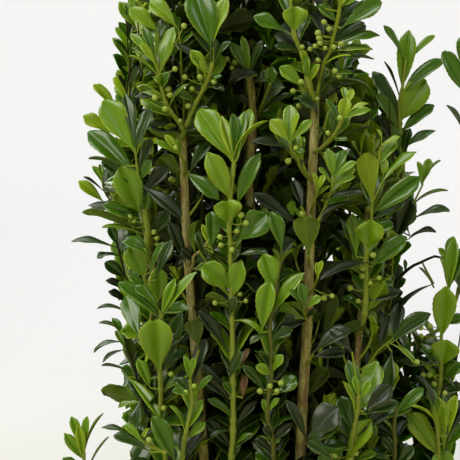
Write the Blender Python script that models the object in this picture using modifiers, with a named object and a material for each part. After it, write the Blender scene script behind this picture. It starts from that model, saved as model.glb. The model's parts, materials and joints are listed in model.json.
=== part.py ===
# Upright Japanese holly: a narrow evergreen shrub, rooted in level ground.
# Metres, +Z up, the front faces -Y. The origin is the centre of the flat cut under the trunk.
# A short trunk forks into slim upright stems. Each stem carries four masses of leafy twigs:
# three stand beside it, one above the other, and the last grows on from its tip.

import math
import random

import bmesh
import bpy
from mathutils import Matrix, Vector
from mathutils.bvhtree import BVHTree

SEED = 23
GROWTHS_TRIED = 6
UP = Vector((0.0, 0.0, 1.0))
JOINT_GAP = 0.0003
FORK_GAP = 0.0005
WELD_DISTANCES = (0.0001, 0.00003, 0.000002)
GOLDEN_ANGLE = math.radians(137.5)

# Trunk
TRUNK_HEIGHT = 0.064
TRUNK_RADIUS = 0.0172
TRUNK_TOP_RADIUS = 0.0132
TRUNK_SHOULDER = 0.0048
FLARE_HEIGHT = 0.021
FLARE_RADIUS = 0.0265
FLARE_HOLLOW = 0.0016
ROOT_LOBES = 5
ROOT_LOBE_DEPTH = 0.10
TRUNK_SIDES = 20

# Upright stems
LEAVING_RADIUS = 0.008
STUB_DEPTH = 0.024
STUB_BEND = 0.0064
STUB_TOP = 0.0784
STEM_START = 0.036
SPREAD_HEIGHT = 0.560
SPREAD_POWER = 2.2
FULL_SPREAD = 0.0776
CLOSING_IN = 0.45
SWAY = 0.0024
SWAY_LENGTH = 0.336
TIP_SHARE = 0.62
STEM_POINT_SPACING = 0.072

# Bearing round the plant in degrees from +X, distance from the axis at full spread, heights of the
# tip and of the leaves above it, radius at the foot, and for a side stem what it forks from and where.
# The centre stem is bare as far up as its neighbours crowd it.
STEMS = {
    "centre": {"bearing": -117, "spread": 0.0176, "tip": 0.724, "top": 0.856, "radius": 0.0054,
               "lowest": 0.150},
    "front": {"bearing": -70, "spread": 0.0720, "tip": 0.577, "top": 0.712, "radius": 0.0053},
    "front_left": {"bearing": -125, "spread": 0.0736, "tip": 0.552, "top": 0.684, "radius": 0.0050},
    "right": {"bearing": 11, "spread": 0.0832, "tip": 0.520, "top": 0.648, "radius": 0.0046},
    "back_right": {"bearing": 59, "spread": 0.0768, "tip": 0.660, "top": 0.796, "radius": 0.0048},
    "back": {"bearing": 110, "spread": 0.0720, "tip": 0.632, "top": 0.768, "radius": 0.0046},
    "back_left": {"bearing": 160, "spread": 0.0768, "tip": 0.604, "top": 0.736, "radius": 0.0046},
    "left": {"bearing": -153, "spread": 0.0800, "tip": 0.484, "top": 0.608, "radius": 0.0040,
             "parent": "front_left", "fork": 0.136},
    "front_right": {"bearing": -38, "spread": 0.0784, "tip": 0.440, "top": 0.564, "radius": 0.0040,
                    "parent": "front", "fork": 0.152},
}
JOINING_RISE = 0.096
FORK_RISE = 0.021

# Masses of foliage
LOWEST_LEAF = 0.083
LEVELS = ("low", "middle", "high")
SHOOT_REACH = 0.050
CROWN_BULGE = 0.004
TAPER_HEIGHT = 0.585
CROWN_TAPER = 0.16
SPACE_MARGIN = 0.0010
LIMB_CLEARANCE = 0.0019
SHOOT_RADIUS = 0.0018
SHOOT_TIP_RADIUS = 0.0010
SHOOT_OFFSET = 0.0104
SHOOT_FOOT = 0.0032
SHOOT_LEAVING = 0.0024
SHOOT_BEND = 0.0060
SHOOT_SWING = 60
SHOOTS_TRIED = 24
TOP_BEND = 0.0096
TOP_LEAN = 0.05
FIRST_TWIG = 0.013
TWIG_SPACING = 0.039
TWIG_TILT = 38
TWIG_LENGTHS = (0.037, 0.027, 0.018)
TWIG_RADIUS = 0.0015
TWIG_TIP_RADIUS = 0.0010
LEAF_LENGTH = 0.043
LEAF_WIDTH = 0.0244
LEAF_THICKNESS = 0.0012
LEAF_SHOULDER = 0.62
RIB_PLACE = 0.28
LEAF_SINK = 0.0007
END_SINK = 0.0010
TIP_ROSETTE = 0.024
ROOT_SHARE = 0.14
LEAF_SCALES = (1.0, 0.86, 0.74, 0.62)
TURNS_TRIED = (0, 70, -70, 140, -140, 180)
# Share of the way along its twig, and angle from the twig, of each leaf
TWIG_LEAVES = ((1.0, 12), (0.84, 44), (0.62, 56), (0.42, 64))
TIP_LEAVES = ((1.0, 10), (0.86, 36), (0.70, 44), (0.52, 54))
BERRY_RADIUS = 0.0029
BERRY_SEGMENTS = 5
BERRY_RINGS = 3
BERRIES = {"low": 0, "middle": 1, "high": 1, "top": 0}

MATERIALS = {
    "bark": {"colour": (0.20, 0.16, 0.09), "roughness": 0.80},
    "leaf": {"colour": (0.10, 0.20, 0.03), "roughness": 0.38},
}


def clear_scene():
    for obj in list(bpy.data.objects):
        bpy.data.objects.remove(obj, do_unlink=True)


def make_collection(name):
    collection = bpy.data.collections.new(name)
    bpy.context.scene.collection.children.link(collection)
    return collection


def make_material(name):
    material = bpy.data.materials.new(name)
    material.use_nodes = True
    shader = material.node_tree.nodes["Principled BSDF"]
    shader.inputs["Base Color"].default_value = (*MATERIALS[name]["colour"], 1.0)
    shader.inputs["Roughness"].default_value = MATERIALS[name]["roughness"]
    shader.inputs["Metallic"].default_value = 0.0
    return material


def bearing_vector(degrees):
    angle = math.radians(degrees)
    return Vector((math.cos(angle), math.sin(angle), 0.0))


def flat_distance(a, b):
    return math.hypot(a.x - b.x, a.y - b.y)


# Where the stems run

def spread_point(stem, z):
    """Centre of a stem at height z, as if it rose from the trunk."""
    outward = bearing_vector(stem["bearing"])
    rise = min(1.0, max(0.0, z - TRUNK_HEIGHT) / (SPREAD_HEIGHT - TRUNK_HEIGHT))
    reach = LEAVING_RADIUS + (stem["spread"] - LEAVING_RADIUS) * (1 - (1 - rise) ** SPREAD_POWER)
    if stem["spread"] < 2 * LEAVING_RADIUS + SWAY:
        reach = stem["spread"] * rise
    reach -= CLOSING_IN * stem["spread"] * max(0.0, z - SPREAD_HEIGHT) / SPREAD_HEIGHT
    sideways = UP.cross(outward) * SWAY * rise
    wave = math.sin(2 * math.pi * z / SWAY_LENGTH + math.radians(3 * stem["bearing"]))
    return outward * reach + sideways * wave + UP * z


def stem_point(stem, z):
    """Centre of a stem at height z: a side stem swings away from the stem it forks from."""
    own = spread_point(stem, z)
    if "parent" not in stem:
        return own
    share = min(1.0, max(0.0, (z - stem["fork"]) / JOINING_RISE))
    leave = spread_point(STEMS[stem["parent"]], z)
    outward = (own - leave).normalized() * side_offset(stem)
    return (leave + outward).lerp(own, share * share * (3 - 2 * share))


def side_offset(stem):
    """How far a side stem's centre stands from its parent's where they part."""
    return stem_radius(STEMS[stem["parent"]], stem["fork"]) + 1.35 * stem["radius"]


def stem_radius(stem, z):
    start = stem.get("fork", TRUNK_HEIGHT)
    share = min(1.0, max(0.0, (z - start) / (stem["tip"] - start)))
    return stem["radius"] * (1 - (1 - TIP_SHARE) * share)


def first_height(stem):
    """Height at which a stem's own space begins."""
    return stem["fork"] + JOINING_RISE if "parent" in stem else stem.get("lowest", LOWEST_LEAF)


def crown_radius(z):
    """Greatest distance of a leaf tip from the plant's axis at height z."""
    rise = min(1.0, max(0.0, z - TRUNK_HEIGHT) / (SPREAD_HEIGHT - TRUNK_HEIGHT))
    spread = LEAVING_RADIUS + (FULL_SPREAD - LEAVING_RADIUS) * (1 - (1 - rise) ** SPREAD_POWER)
    bulge = CROWN_BULGE * math.sin(math.pi * min(1.0, z / SPREAD_HEIGHT))
    return spread + SHOOT_REACH + bulge - CROWN_TAPER * max(0.0, z - TAPER_HEIGHT)


# Solids

def tube_curve(name, points, radii, level, material, collection):
    """A tapering tube with closed ends along a line of points."""
    curve = bpy.data.curves.new(name, "CURVE")
    curve.dimensions = "3D"
    curve.bevel_depth = 1.0
    curve.bevel_resolution = level
    curve.use_fill_caps = True
    spline = curve.splines.new("POLY")
    spline.points.add(len(points) - 1)
    for place, point, radius in zip(spline.points, points, radii):
        place.co = (*point, 1.0)
        place.radius = radius
    obj = bpy.data.objects.new(name, curve)
    curve.materials.append(material)
    collection.objects.link(obj)
    return obj


def curve_to_mesh(obj, collection):
    """The same tube as a mesh whose caps are welded on."""
    bpy.context.view_layer.update()
    graph = bpy.context.evaluated_depsgraph_get()
    mesh = bpy.data.meshes.new_from_object(obj.evaluated_get(graph))
    name = obj.name
    bpy.data.objects.remove(obj, do_unlink=True)
    made = bpy.data.objects.new(name, mesh)
    collection.objects.link(made)
    edit_mesh(mesh, lambda bm: bmesh.ops.remove_doubles(bm, verts=bm.verts, dist=1e-6))
    return made


def edit_mesh(mesh, change):
    bm = bmesh.new()
    bm.from_mesh(mesh)
    change(bm)
    bmesh.ops.recalc_face_normals(bm, faces=bm.faces)
    bm.to_mesh(mesh)
    bm.free()


def add_shape(name, make, place, collection):
    """One closed primitive, made by make(bm), with its shape carried to its place."""
    mesh = bpy.data.meshes.new(name)
    bm = bmesh.new()
    make(bm)
    bmesh.ops.transform(bm, matrix=place, verts=bm.verts)
    bmesh.ops.recalc_face_normals(bm, faces=bm.faces)
    bm.to_mesh(mesh)
    bm.free()
    obj = bpy.data.objects.new(name, mesh)
    collection.objects.link(obj)
    return obj


def frame_along(start, direction, face):
    """A matrix whose Z runs along direction and whose Y leans to face, with its origin at start."""
    z = direction.normalized()
    x = face.cross(z)
    if x.length < 1e-4:
        x = Vector((1.0, 0.0, 0.0)).cross(z)
    x.normalize()
    turn = Matrix((x, z.cross(x), z)).transposed()
    return Matrix.Translation(start) @ turn.to_4x4()


def join_all(base, others):
    """One solid from base and every object of the collection others, which is then emptied."""
    union = base.modifiers.new("union", "BOOLEAN")
    union.operation = "UNION"
    union.operand_type = "COLLECTION"
    union.collection = others
    union.solver = "MANIFOLD"
    bpy.context.view_layer.update()
    graph = bpy.context.evaluated_depsgraph_get()
    joined = bpy.data.meshes.new_from_object(base.evaluated_get(graph))
    base.modifiers.clear()
    base.data = joined
    for obj in list(others.objects):
        bpy.data.objects.remove(obj, do_unlink=True)


def bodies_of(bm):
    """The corners of each separate body of a mesh, the smallest body first."""
    left = set(bm.verts)
    bodies = []
    while left:
        reached = [left.pop()]
        for vert in reached:
            for edge in vert.link_edges:
                other = edge.other_vert(vert)
                if other in left:
                    left.remove(other)
                    reached.append(other)
        bodies.append(reached)
    return sorted(bodies, key=len)


def cleaned(joined, weld):
    """A copy of a joined mesh with its short edges welded away, and whether it is one sound body."""
    mesh = joined.copy()
    bm = bmesh.new()
    bm.from_mesh(mesh)
    bmesh.ops.triangulate(bm, faces=bm.faces)
    bmesh.ops.dissolve_degenerate(bm, edges=bm.edges, dist=weld)
    bmesh.ops.triangulate(bm, faces=bm.faces)
    scraps = bodies_of(bm)[:-1]
    closed = all(len(edge.link_faces) == 2 for edge in bm.edges)
    sound = closed and not scraps and all(vert.is_manifold for vert in bm.verts)
    for scrap in scraps:
        bmesh.ops.delete(bm, geom=scrap, context="VERTS")
    bmesh.ops.recalc_face_normals(bm, faces=bm.faces)
    bm.to_mesh(mesh)
    bm.free()
    return mesh, sound


# Trunk

def build_trunk(materials, plant, helpers):
    """A short flared trunk, cut flat at the ground, with a stub for each stem that leaves it."""
    profile = [
        (0.0, TRUNK_HEIGHT),
        (TRUNK_TOP_RADIUS * 0.8, TRUNK_HEIGHT),
        (TRUNK_TOP_RADIUS, TRUNK_HEIGHT - TRUNK_SHOULDER),
        (TRUNK_RADIUS, FLARE_HEIGHT),
        ((TRUNK_RADIUS + FLARE_RADIUS) / 2 - FLARE_HOLLOW, FLARE_HEIGHT * 0.4),
        (FLARE_RADIUS, 0.0),
        (0.0, 0.0),
    ]
    mesh = bpy.data.meshes.new("trunk")
    mesh.from_pydata([(r, 0.0, z) for r, z in profile], [(i, i + 1) for i in range(len(profile) - 1)], [])
    turned = bpy.data.objects.new("trunk_turned", mesh)
    helpers.objects.link(turned)
    screw = turned.modifiers.new("screw", "SCREW")
    screw.steps = screw.render_steps = TRUNK_SIDES
    screw.use_merge_vertices = True
    screw.merge_threshold = 0.0001
    bpy.context.view_layer.update()
    graph = bpy.context.evaluated_depsgraph_get()
    trunk = bpy.data.objects.new("trunk", bpy.data.meshes.new_from_object(turned.evaluated_get(graph)))
    bpy.data.objects.remove(turned, do_unlink=True)
    plant.objects.link(trunk)

    def shape_roots(bm):
        bmesh.ops.remove_doubles(bm, verts=bm.verts, dist=1e-6)
        for vert in bm.verts:
            fade = max(0.0, 1 - vert.co.z / (2 * FLARE_HEIGHT))
            lobe = math.cos(ROOT_LOBES * math.atan2(vert.co.y, vert.co.x))
            stretch = 1 + ROOT_LOBE_DEPTH * fade * lobe
            vert.co.x *= stretch
            vert.co.y *= stretch
    edit_mesh(trunk.data, shape_roots)

    for name, stem in STEMS.items():
        if "parent" in stem:
            continue
        heights = (TRUNK_HEIGHT - STUB_DEPTH, TRUNK_HEIGHT - STUB_BEND, STUB_TOP)
        points = [stem_point(stem, z) for z in heights]
        radii = [stem["radius"] * 1.08, stem["radius"] * 1.04, stem["radius"]]
        stub = tube_curve(f"stub_{name}", points, radii, 2, materials["bark"], helpers)
        curve_to_mesh(stub, helpers)
    join_all(trunk, helpers)
    trunk.data.materials.clear()
    trunk.data.materials.append(materials["bark"])


# Stems

def square_to(direction, along):
    """The part of a direction that is square to a line, as a unit vector."""
    return (direction - along * direction.dot(along)).normalized()


def stem_line(stem):
    """Points and radii of a stem from the end of its stub, or from its parent's side, to its tip."""
    if "parent" in stem:
        fork = stem["fork"]
        root, along, radius = on_stem(STEMS[stem["parent"]], fork)
        outward = square_to(stem_point(stem, fork) - root, along)
        start = root + outward * (radius + FORK_GAP)
        bend = 1.25 * stem["radius"]
        points = [start, start + outward * 0.2 * bend, start + (outward + along) * bend]
        low = fork + FORK_RISE
    else:
        end = stem_point(stem, STUB_TOP)
        along = (end - stem_point(stem, TRUNK_HEIGHT - STUB_BEND)).normalized()
        points = [end + along * JOINT_GAP, end + along * STUB_BEND]
        low = STUB_TOP + STEM_START
    count = max(2, round((stem["tip"] - low) / STEM_POINT_SPACING))
    points += [stem_point(stem, low + (stem["tip"] - low) * i / count) for i in range(count + 1)]
    radii = [stem_radius(stem, point.z) for point in points]
    if "parent" in stem:
        radii[0] *= 0.86
        radii[1] *= 0.92
    return points, radii


def on_stem(stem, z):
    """Centre, direction and radius of a stem's tube at height z."""
    points, radii = stem_line(stem)
    for below, above, low_radius, high_radius in zip(points, points[1:], radii, radii[1:]):
        if z <= above.z:
            break
    share = min(1.0, (z - below.z) / (above.z - below.z))
    radius = low_radius + (high_radius - low_radius) * share
    return below.lerp(above, share), (above - below).normalized(), radius


def build_stems(materials, plant):
    for name, stem in STEMS.items():
        points, radii = stem_line(stem)
        tube_curve(f"stem_{name}", points, radii, 2, materials["bark"], plant)


# Foliage

def in_space(point, name, low, high):
    """True if a point lies in the space that the stem's mass keeps to."""
    stem = STEMS[name]
    if not low + SPACE_MARGIN < point.z < high - SPACE_MARGIN:
        return False
    if math.hypot(point.x, point.y) > crown_radius(point.z):
        return False
    own = stem_point(stem, point.z)
    to_own = flat_distance(point, own)
    for other_name, other in STEMS.items():
        if other_name == name or not first_height(other) - SPACE_MARGIN < point.z < other["top"]:
            continue
        centre = stem_point(other, point.z)
        apart = flat_distance(own, centre)
        if (flat_distance(point, centre) ** 2 - to_own ** 2) / (2 * apart) < SPACE_MARGIN:
            return False
    return True


def fits(points, name, low, high):
    return all(in_space(point, name, low, high) for point in points)


def mass_spans(stem):
    """Level, lowest and highest height of each mass of a stem."""
    low = first_height(stem)
    step = (stem["tip"] - low) / len(LEVELS)
    spans = [(level, low + step * i, low + step * (i + 1)) for i, level in enumerate(LEVELS)]
    return spans + [("top", stem["tip"], stem["top"])]


def shoot_line(name, level, low, high, rng):
    """The line of the one shoot that a mass grows from."""
    stem = STEMS[name]
    if level == "top":
        tip, along, _ = on_stem(stem, stem["tip"])
        lean = bearing_vector(stem["bearing"]) * TOP_LEAN
        points = [tip + along * JOINT_GAP, tip + along * TOP_BEND]
        rise = high - LEAF_LENGTH * 0.94 - points[-1].z
        points += [points[-1] + (UP + lean) * rise * share for share in (0.5, 1.0)]
        return points
    root, along, radius = on_stem(stem, low + SHOOT_RADIUS + SHOOT_FOOT)
    for _ in range(SHOOTS_TRIED):
        side = square_to(bearing_vector(stem["bearing"] + rng.uniform(-SHOOT_SWING, SHOOT_SWING)), along)
        surface = root + side * (radius + JOINT_GAP)
        points = [surface, surface + side * SHOOT_LEAVING, surface + (side + along) * SHOOT_BEND]
        for share in (0.35, 1.0):
            z = points[2].z + (high - LEAF_LENGTH * 0.62 - points[2].z) * share
            points.append(stem_point(stem, z) + side * SHOOT_OFFSET)
        if clears_other_stems(points, name):
            break
    return points


def clears_other_stems(line, name):
    """True if a shoot's line keeps its clearance from every stem but its own."""
    for share in (0.15, 0.3, 0.45, 0.6, 0.8, 1.0):
        point, _ = point_along(line, share)
        for other_name, other in STEMS.items():
            if other_name == name or not other.get("fork", TRUNK_HEIGHT) < point.z < other["tip"]:
                continue
            clearance = stem_radius(other, point.z) + SHOOT_RADIUS + LIMB_CLEARANCE
            if flat_distance(point, stem_point(other, point.z)) < clearance:
                return False
    return True


def point_along(line, share):
    """Point and direction at a share of the way along a line of points."""
    lengths = [(b - a).length for a, b in zip(line, line[1:])]
    left = share * sum(lengths)
    for a, b, length in zip(line, line[1:], lengths):
        if left <= length or b is line[-1]:
            break
        left -= length
    return a + (b - a) * min(1.0, left / length), (b - a).normalized()


def tilted(direction, bearing, angle):
    """Direction turned by an angle in degrees away from itself, to a bearing in radians round it."""
    x = direction.orthogonal().normalized()
    y = direction.cross(x)
    across = x * math.cos(bearing) + y * math.sin(bearing)
    return direction * math.cos(math.radians(angle)) + across * math.sin(math.radians(angle))


def leaf_corners(place, length, width):
    """Points over a leaf: its outline, its rib and its middle."""
    flat = [(0, 0.35), (0, 0.62), (0, 0.8), (0, 1.0)]
    flat += [(side * 0.5, 0.62) for side in (-1, 1)] + [(side * 0.28, 0.35) for side in (-1, 1)]
    flat += [(side * 0.25, 0.81) for side in (-1, 1)] + [(side * 0.26, 0.62) for side in (-1, 1)]
    rib = place @ Vector((0.0, -LEAF_THICKNESS, RIB_PLACE * length))
    return [place @ Vector((x * width, 0.0, z * length)) for x, z in flat] + [rib]


def leaf_sheet(place, length, width):
    """The leaf past its root as two flat triangles, to see what it would cross."""
    flat = [(0, ROOT_SHARE), (-0.5, LEAF_SHOULDER), (0, 1.0), (0.5, LEAF_SHOULDER)]
    points = [place @ Vector((x * width, 0.0, z * length)) for x, z in flat]
    return BVHTree.FromPolygons(points, [(0, 1, 2), (0, 2, 3)])


def twig_sheet(root, direction, length):
    """The twig past its root as two crossed strips, to see what it would cross."""
    points = []
    square = direction.orthogonal().normalized()
    for across in (square, direction.cross(square)):
        for share in (ROOT_SHARE, 1.0):
            centre = root + direction * length * share
            points += [centre + across * side * TWIG_RADIUS for side in (-1, 1)]
    return BVHTree.FromPolygons(points, [(0, 1, 3, 2), (4, 5, 7, 6)])


def stems_with_clearance():
    """All stems as eight-sided tubes, wider by the clearance that foliage keeps from them."""
    points, sides = [], []
    corners = [bearing_vector(45 * i) for i in range(8)]
    for stem in STEMS.values():
        for level, (centre, radius) in enumerate(zip(*stem_line(stem))):
            first = len(points)
            points += [centre + corner * (radius + LIMB_CLEARANCE) for corner in corners]
            for i in range(8 if level else 0):
                after = (i + 1) % 8
                sides.append((first + i, first + after, first + after - 8, first + i - 8))
    return BVHTree.FromPolygons(points, sides)


def crosses(sheet, placed):
    return any(sheet.overlap(other) for other in placed)


def make_leaf(length, width):
    """A six-faced leaf that starts at a point: widest past its middle, with its rib underneath."""
    def make(bm):
        bmesh.ops.create_uvsphere(bm, u_segments=3, v_segments=2, radius=1.0)
        for vert in bm.verts:
            if vert.co.x > 0.5:
                vert.co = (0.0, -LEAF_THICKNESS, RIB_PLACE * length)
            elif abs(vert.co.z) < 0.5:
                vert.co = (math.copysign(width / 2, vert.co.y), 0.0, LEAF_SHOULDER * length)
            else:
                vert.co = (0.0, 0.0, (vert.co.z + 1) / 2 * length)
    return make


def make_twig(length):
    def make(bm):
        bmesh.ops.create_cone(bm, cap_ends=True, segments=3, depth=length,
                              radius1=TWIG_RADIUS, radius2=TWIG_TIP_RADIUS)
        bmesh.ops.translate(bm, verts=bm.verts, vec=(0.0, 0.0, length / 2))
    return make


def make_berry(bm):
    bmesh.ops.create_uvsphere(bm, u_segments=BERRY_SEGMENTS, v_segments=BERRY_RINGS, radius=BERRY_RADIUS)


def add_leaf(root, direction, axis, space, others, placed, rng):
    """Adds a leaf if it fits the space, touches no limb and lies clear of its fellows."""
    full_length = LEAF_LENGTH * rng.uniform(0.86, 1.06)
    full_width = LEAF_WIDTH * rng.uniform(0.90, 1.06)
    start = root - direction * LEAF_SINK
    place = frame_along(start, direction, axis + direction * 0.001)
    for scale in LEAF_SCALES:
        length, width = full_length * scale, full_width * scale
        if not fits(leaf_corners(place, length, width), *space):
            continue
        sheet = leaf_sheet(place, length, width)
        if not crosses(sheet, placed):
            add_shape("leaf", make_leaf(length, width), place, others)
            placed.append(sheet)
            return True
    return False


def twig_way(root, along, bearing, space, placed, rng):
    """Direction and length of the longest twig that fits near a bearing, or None."""
    tilt = TWIG_TILT + rng.uniform(-6, 6)
    for length in TWIG_LENGTHS:
        for turn in TURNS_TRIED:
            direction = tilted(along, bearing + math.radians(turn), tilt)
            direction = (direction + UP * 0.12).normalized()
            samples = [root + direction * length * share for share in (0.3, 0.6, 0.85, 1.0)]
            if fits(samples, *space) and not crosses(twig_sheet(root, direction, length), placed):
                return direction, length
    return None


def add_twig_with_leaves(root, along, bearing, space, others, placed, rng):
    """Adds the longest twig that fits, and the leaves on it."""
    way = twig_way(root, along, bearing, space, placed, rng)
    if way is None:
        return
    direction, length = way
    add_shape("twig", make_twig(length), frame_along(root, direction, UP), others)
    placed.append(twig_sheet(root, direction, length))
    add_leaves(root + direction * (length - END_SINK), direction, length, TWIG_LEAVES,
               bearing, space, others, placed, rng)


def add_leaves(tip, axis, length, places, bearing, space, others, placed, rng):
    """Adds a rosette: each leaf turns on round the twig until it fits."""
    for number, (share, angle) in enumerate(places):
        base = tip - axis * length * (1 - share)
        for turn in TURNS_TRIED:
            round_twig = bearing + number * GOLDEN_ANGLE + math.radians(turn)
            leaf_way = tilted(axis, round_twig, angle + rng.uniform(-6, 6))
            if add_leaf(base, leaf_way, axis, space, others, placed, rng):
                break


def build_mass(space, level, growth, limbs, material, plant, helpers):
    """One mass of foliage: a shoot, its twigs, their leaves and some berries, joined into one solid."""
    name, low, high = space
    rng = random.Random(f"{SEED}_{growth}_{name}_{level}")
    placed = [limbs]
    line = shoot_line(name, level, low, high, rng)
    thinning = (SHOOT_RADIUS - SHOOT_TIP_RADIUS) / (len(line) - 1)
    radii = [SHOOT_RADIUS - thinning * i for i in range(len(line))]
    shoot = tube_curve(f"foliage_{name}_{level}", line, radii, 0, material, plant)
    mass = curve_to_mesh(shoot, plant)
    length = sum((b - a).length for a, b in zip(line, line[1:]))
    turn = rng.uniform(0.0, 2 * math.pi)
    tip, along = point_along(line, 1.0)
    add_leaves(tip - along * END_SINK, along, TIP_ROSETTE, TIP_LEAVES, turn, space, helpers, placed, rng)
    share = FIRST_TWIG / length
    while share < 0.97:
        root, along = point_along(line, share)
        add_twig_with_leaves(root, along, turn, space, helpers, placed, rng)
        turn += GOLDEN_ANGLE
        share += TWIG_SPACING * rng.uniform(0.85, 1.15) / length
    for number in range(BERRIES[level]):
        root, along = point_along(line, 0.35 + 0.30 * number)
        bearing = rng.uniform(0.0, 2 * math.pi)
        across = tilted(along, bearing, 90)
        centre = root + across * (SHOOT_TIP_RADIUS * 0.7 + BERRY_RADIUS * 0.75)
        clear = limbs.find_nearest(centre)[3] > BERRY_RADIUS
        if clear and fits([centre, centre + across * BERRY_RADIUS], *space):
            add_shape("berry", make_berry, Matrix.Translation(centre), helpers)
    leaves = sum(obj.name.startswith("leaf") for obj in helpers.objects)
    join_all(mass, helpers)
    joined = mass.data
    for weld in WELD_DISTANCES:
        mass.data, sound = cleaned(joined, weld)
        if sound:
            break
    mass.data.materials.clear()
    mass.data.materials.append(material)
    return mass, leaves, sound


def main():
    clear_scene()
    plant = make_collection("japanese_holly")
    helpers = make_collection("shapes_to_join")
    materials = {name: make_material(name) for name in MATERIALS}
    build_trunk(materials, plant, helpers)
    build_stems(materials, plant)
    limbs = stems_with_clearance()
    all_leaves = 0
    for name, stem in STEMS.items():
        for level, low, high in mass_spans(stem):
            for growth in range(GROWTHS_TRIED):
                mass, leaves, sound = build_mass((name, low, high), level, growth, limbs, materials["leaf"],
                                                 plant, helpers)
                if sound or growth == GROWTHS_TRIED - 1:
                    break
                bpy.data.objects.remove(mass, do_unlink=True)
            all_leaves += leaves
            print(f"{mass.name}: {leaves} leaves, {len(mass.data.polygons)} triangles")
    bpy.data.collections.remove(helpers)
    print(f"{all_leaves} leaves in all")


main()
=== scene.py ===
import json
import math
import random

import bmesh
import bpy
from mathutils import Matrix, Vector

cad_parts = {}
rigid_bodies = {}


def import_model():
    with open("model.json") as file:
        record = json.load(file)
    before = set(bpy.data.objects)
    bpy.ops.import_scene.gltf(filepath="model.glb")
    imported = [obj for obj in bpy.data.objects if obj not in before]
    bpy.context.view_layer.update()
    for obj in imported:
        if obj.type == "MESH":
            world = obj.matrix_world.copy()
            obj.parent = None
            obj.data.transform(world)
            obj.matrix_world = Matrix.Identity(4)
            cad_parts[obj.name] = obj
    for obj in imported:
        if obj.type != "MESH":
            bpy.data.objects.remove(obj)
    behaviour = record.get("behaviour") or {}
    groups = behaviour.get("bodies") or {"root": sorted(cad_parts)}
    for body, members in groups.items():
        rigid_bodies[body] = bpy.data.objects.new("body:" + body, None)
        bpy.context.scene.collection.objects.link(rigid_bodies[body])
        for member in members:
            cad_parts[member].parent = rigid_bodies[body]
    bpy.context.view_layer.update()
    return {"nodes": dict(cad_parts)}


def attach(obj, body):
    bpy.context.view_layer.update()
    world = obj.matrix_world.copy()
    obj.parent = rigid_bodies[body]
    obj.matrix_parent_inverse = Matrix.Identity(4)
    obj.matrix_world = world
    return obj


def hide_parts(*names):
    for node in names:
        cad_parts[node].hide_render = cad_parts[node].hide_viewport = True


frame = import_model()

# An upright Japanese holly: slim stems with bark, leafy shoots, glossy leaves and unripe berries.
# Metres, +Z up, the front faces -Y, as in the loaded frame.

up = Vector((0.0, 0.0, 1.0))
toCamera = Vector((0.0, -1.0, 0.0))
goldenAngle = math.radians(137.5)
plantSeed = 23


# Nodes: a wrapped socket that takes part in plain sums

class Wire:
    def __init__(self, tree, socket):
        self.tree = tree
        self.socket = socket

    @classmethod
    def node(cls, tree, kind, settings=None, sockets=None, out=0):
        made = tree.nodes.new(kind)
        for name, value in (settings or {}).items():
            if name == "stops":
                cls.setStops(made.color_ramp.elements, value)
            elif name == "curve":
                cls.setCurve(made.mapping, value)
            else:
                setattr(made, name, value)
        for key, value in (sockets or {}).items():
            if isinstance(value, Wire):
                tree.links.new(value.socket, made.inputs[key])
            else:
                made.inputs[key].default_value = value
        return cls(tree, made.outputs[out])

    @staticmethod
    def setStops(elements, stops):
        while len(elements) < len(stops):
            elements.new(0.5)
        for element, (place, colour) in zip(elements, stops):
            element.position = place
            element.color = (*colour, 1.0)

    @staticmethod
    def setCurve(mapping, points):
        line = mapping.curves[0].points
        while len(line) < len(points):
            line.new(0.5, 0.5)
        for point, place in zip(line, points):
            point.location = place
        mapping.update()

    def math(self, operation, *others):
        values = dict(enumerate((self, *others)))
        return Wire.node(self.tree, "ShaderNodeMath", {"operation": operation}, values)

    def vector(self, operation, other, key=1):
        values = {0: self, key: other}
        return Wire.node(self.tree, "ShaderNodeVectorMath", {"operation": operation}, values)

    def scaled(self, factor):
        return self.vector("SCALE", factor, "Scale")

    def absolute(self):
        return self.math("ABSOLUTE")

    def shaped(self, points):
        return Wire.node(self.tree, "ShaderNodeFloatCurve", {"curve": points}, {"Value": self})

    def between(self, low, high):
        return Wire.node(self.tree, "ShaderNodeMapRange", None, {0: self, 1: low, 2: high})

    def axis(self, number):
        return Wire.node(self.tree, "ShaderNodeSeparateXYZ", None, {0: self}, out=number)

    def passed(self, kind):
        return Wire.node(self.tree, kind, None, {0: self})

    def __add__(self, other):
        return self.math("ADD", other)

    def __sub__(self, other):
        return self.math("SUBTRACT", other)

    def __rsub__(self, other):
        return self * -1.0 + other

    def __mul__(self, other):
        return self.math("MULTIPLY", other)

    def __truediv__(self, other):
        return self.math("DIVIDE", other)

    def __gt__(self, other):
        return self.math("GREATER_THAN", other)

    def __lt__(self, other):
        return self.math("LESS_THAN", other)

    __radd__ = __add__
    __rmul__ = __mul__


def geometryTree(name, inputs):
    tree = bpy.data.node_groups.new(name, "GeometryNodeTree")
    tree.interface.new_socket("Geometry", in_out="INPUT", socket_type="NodeSocketGeometry")
    for label, kind in inputs.items():
        tree.interface.new_socket(label, in_out="INPUT", socket_type="NodeSocket" + kind)
    tree.interface.new_socket("Geometry", in_out="OUTPUT", socket_type="NodeSocketGeometry")
    source = tree.nodes.new("NodeGroupInput")
    return tree, {socket.name: Wire(tree, socket) for socket in source.outputs if socket.name}


def endTree(tree, geometry):
    tree.links.new(geometry.socket, tree.nodes.new("NodeGroupOutput").inputs[0])


def named(tree, name, kind="FLOAT"):
    return Wire.node(tree, "GeometryNodeInputNamedAttribute", {"data_type": kind}, {"Name": name})


def stored(geometry, name, value, kind="FLOAT", domain="POINT"):
    return Wire.node(geometry.tree, "GeometryNodeStoreNamedAttribute", {"data_type": kind, "domain": domain},
                     {"Geometry": geometry, "Name": name, "Value": value})


def moved(geometry, **sockets):
    return Wire.node(geometry.tree, "GeometryNodeSetPosition", None, {"Geometry": geometry, **sockets})


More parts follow.
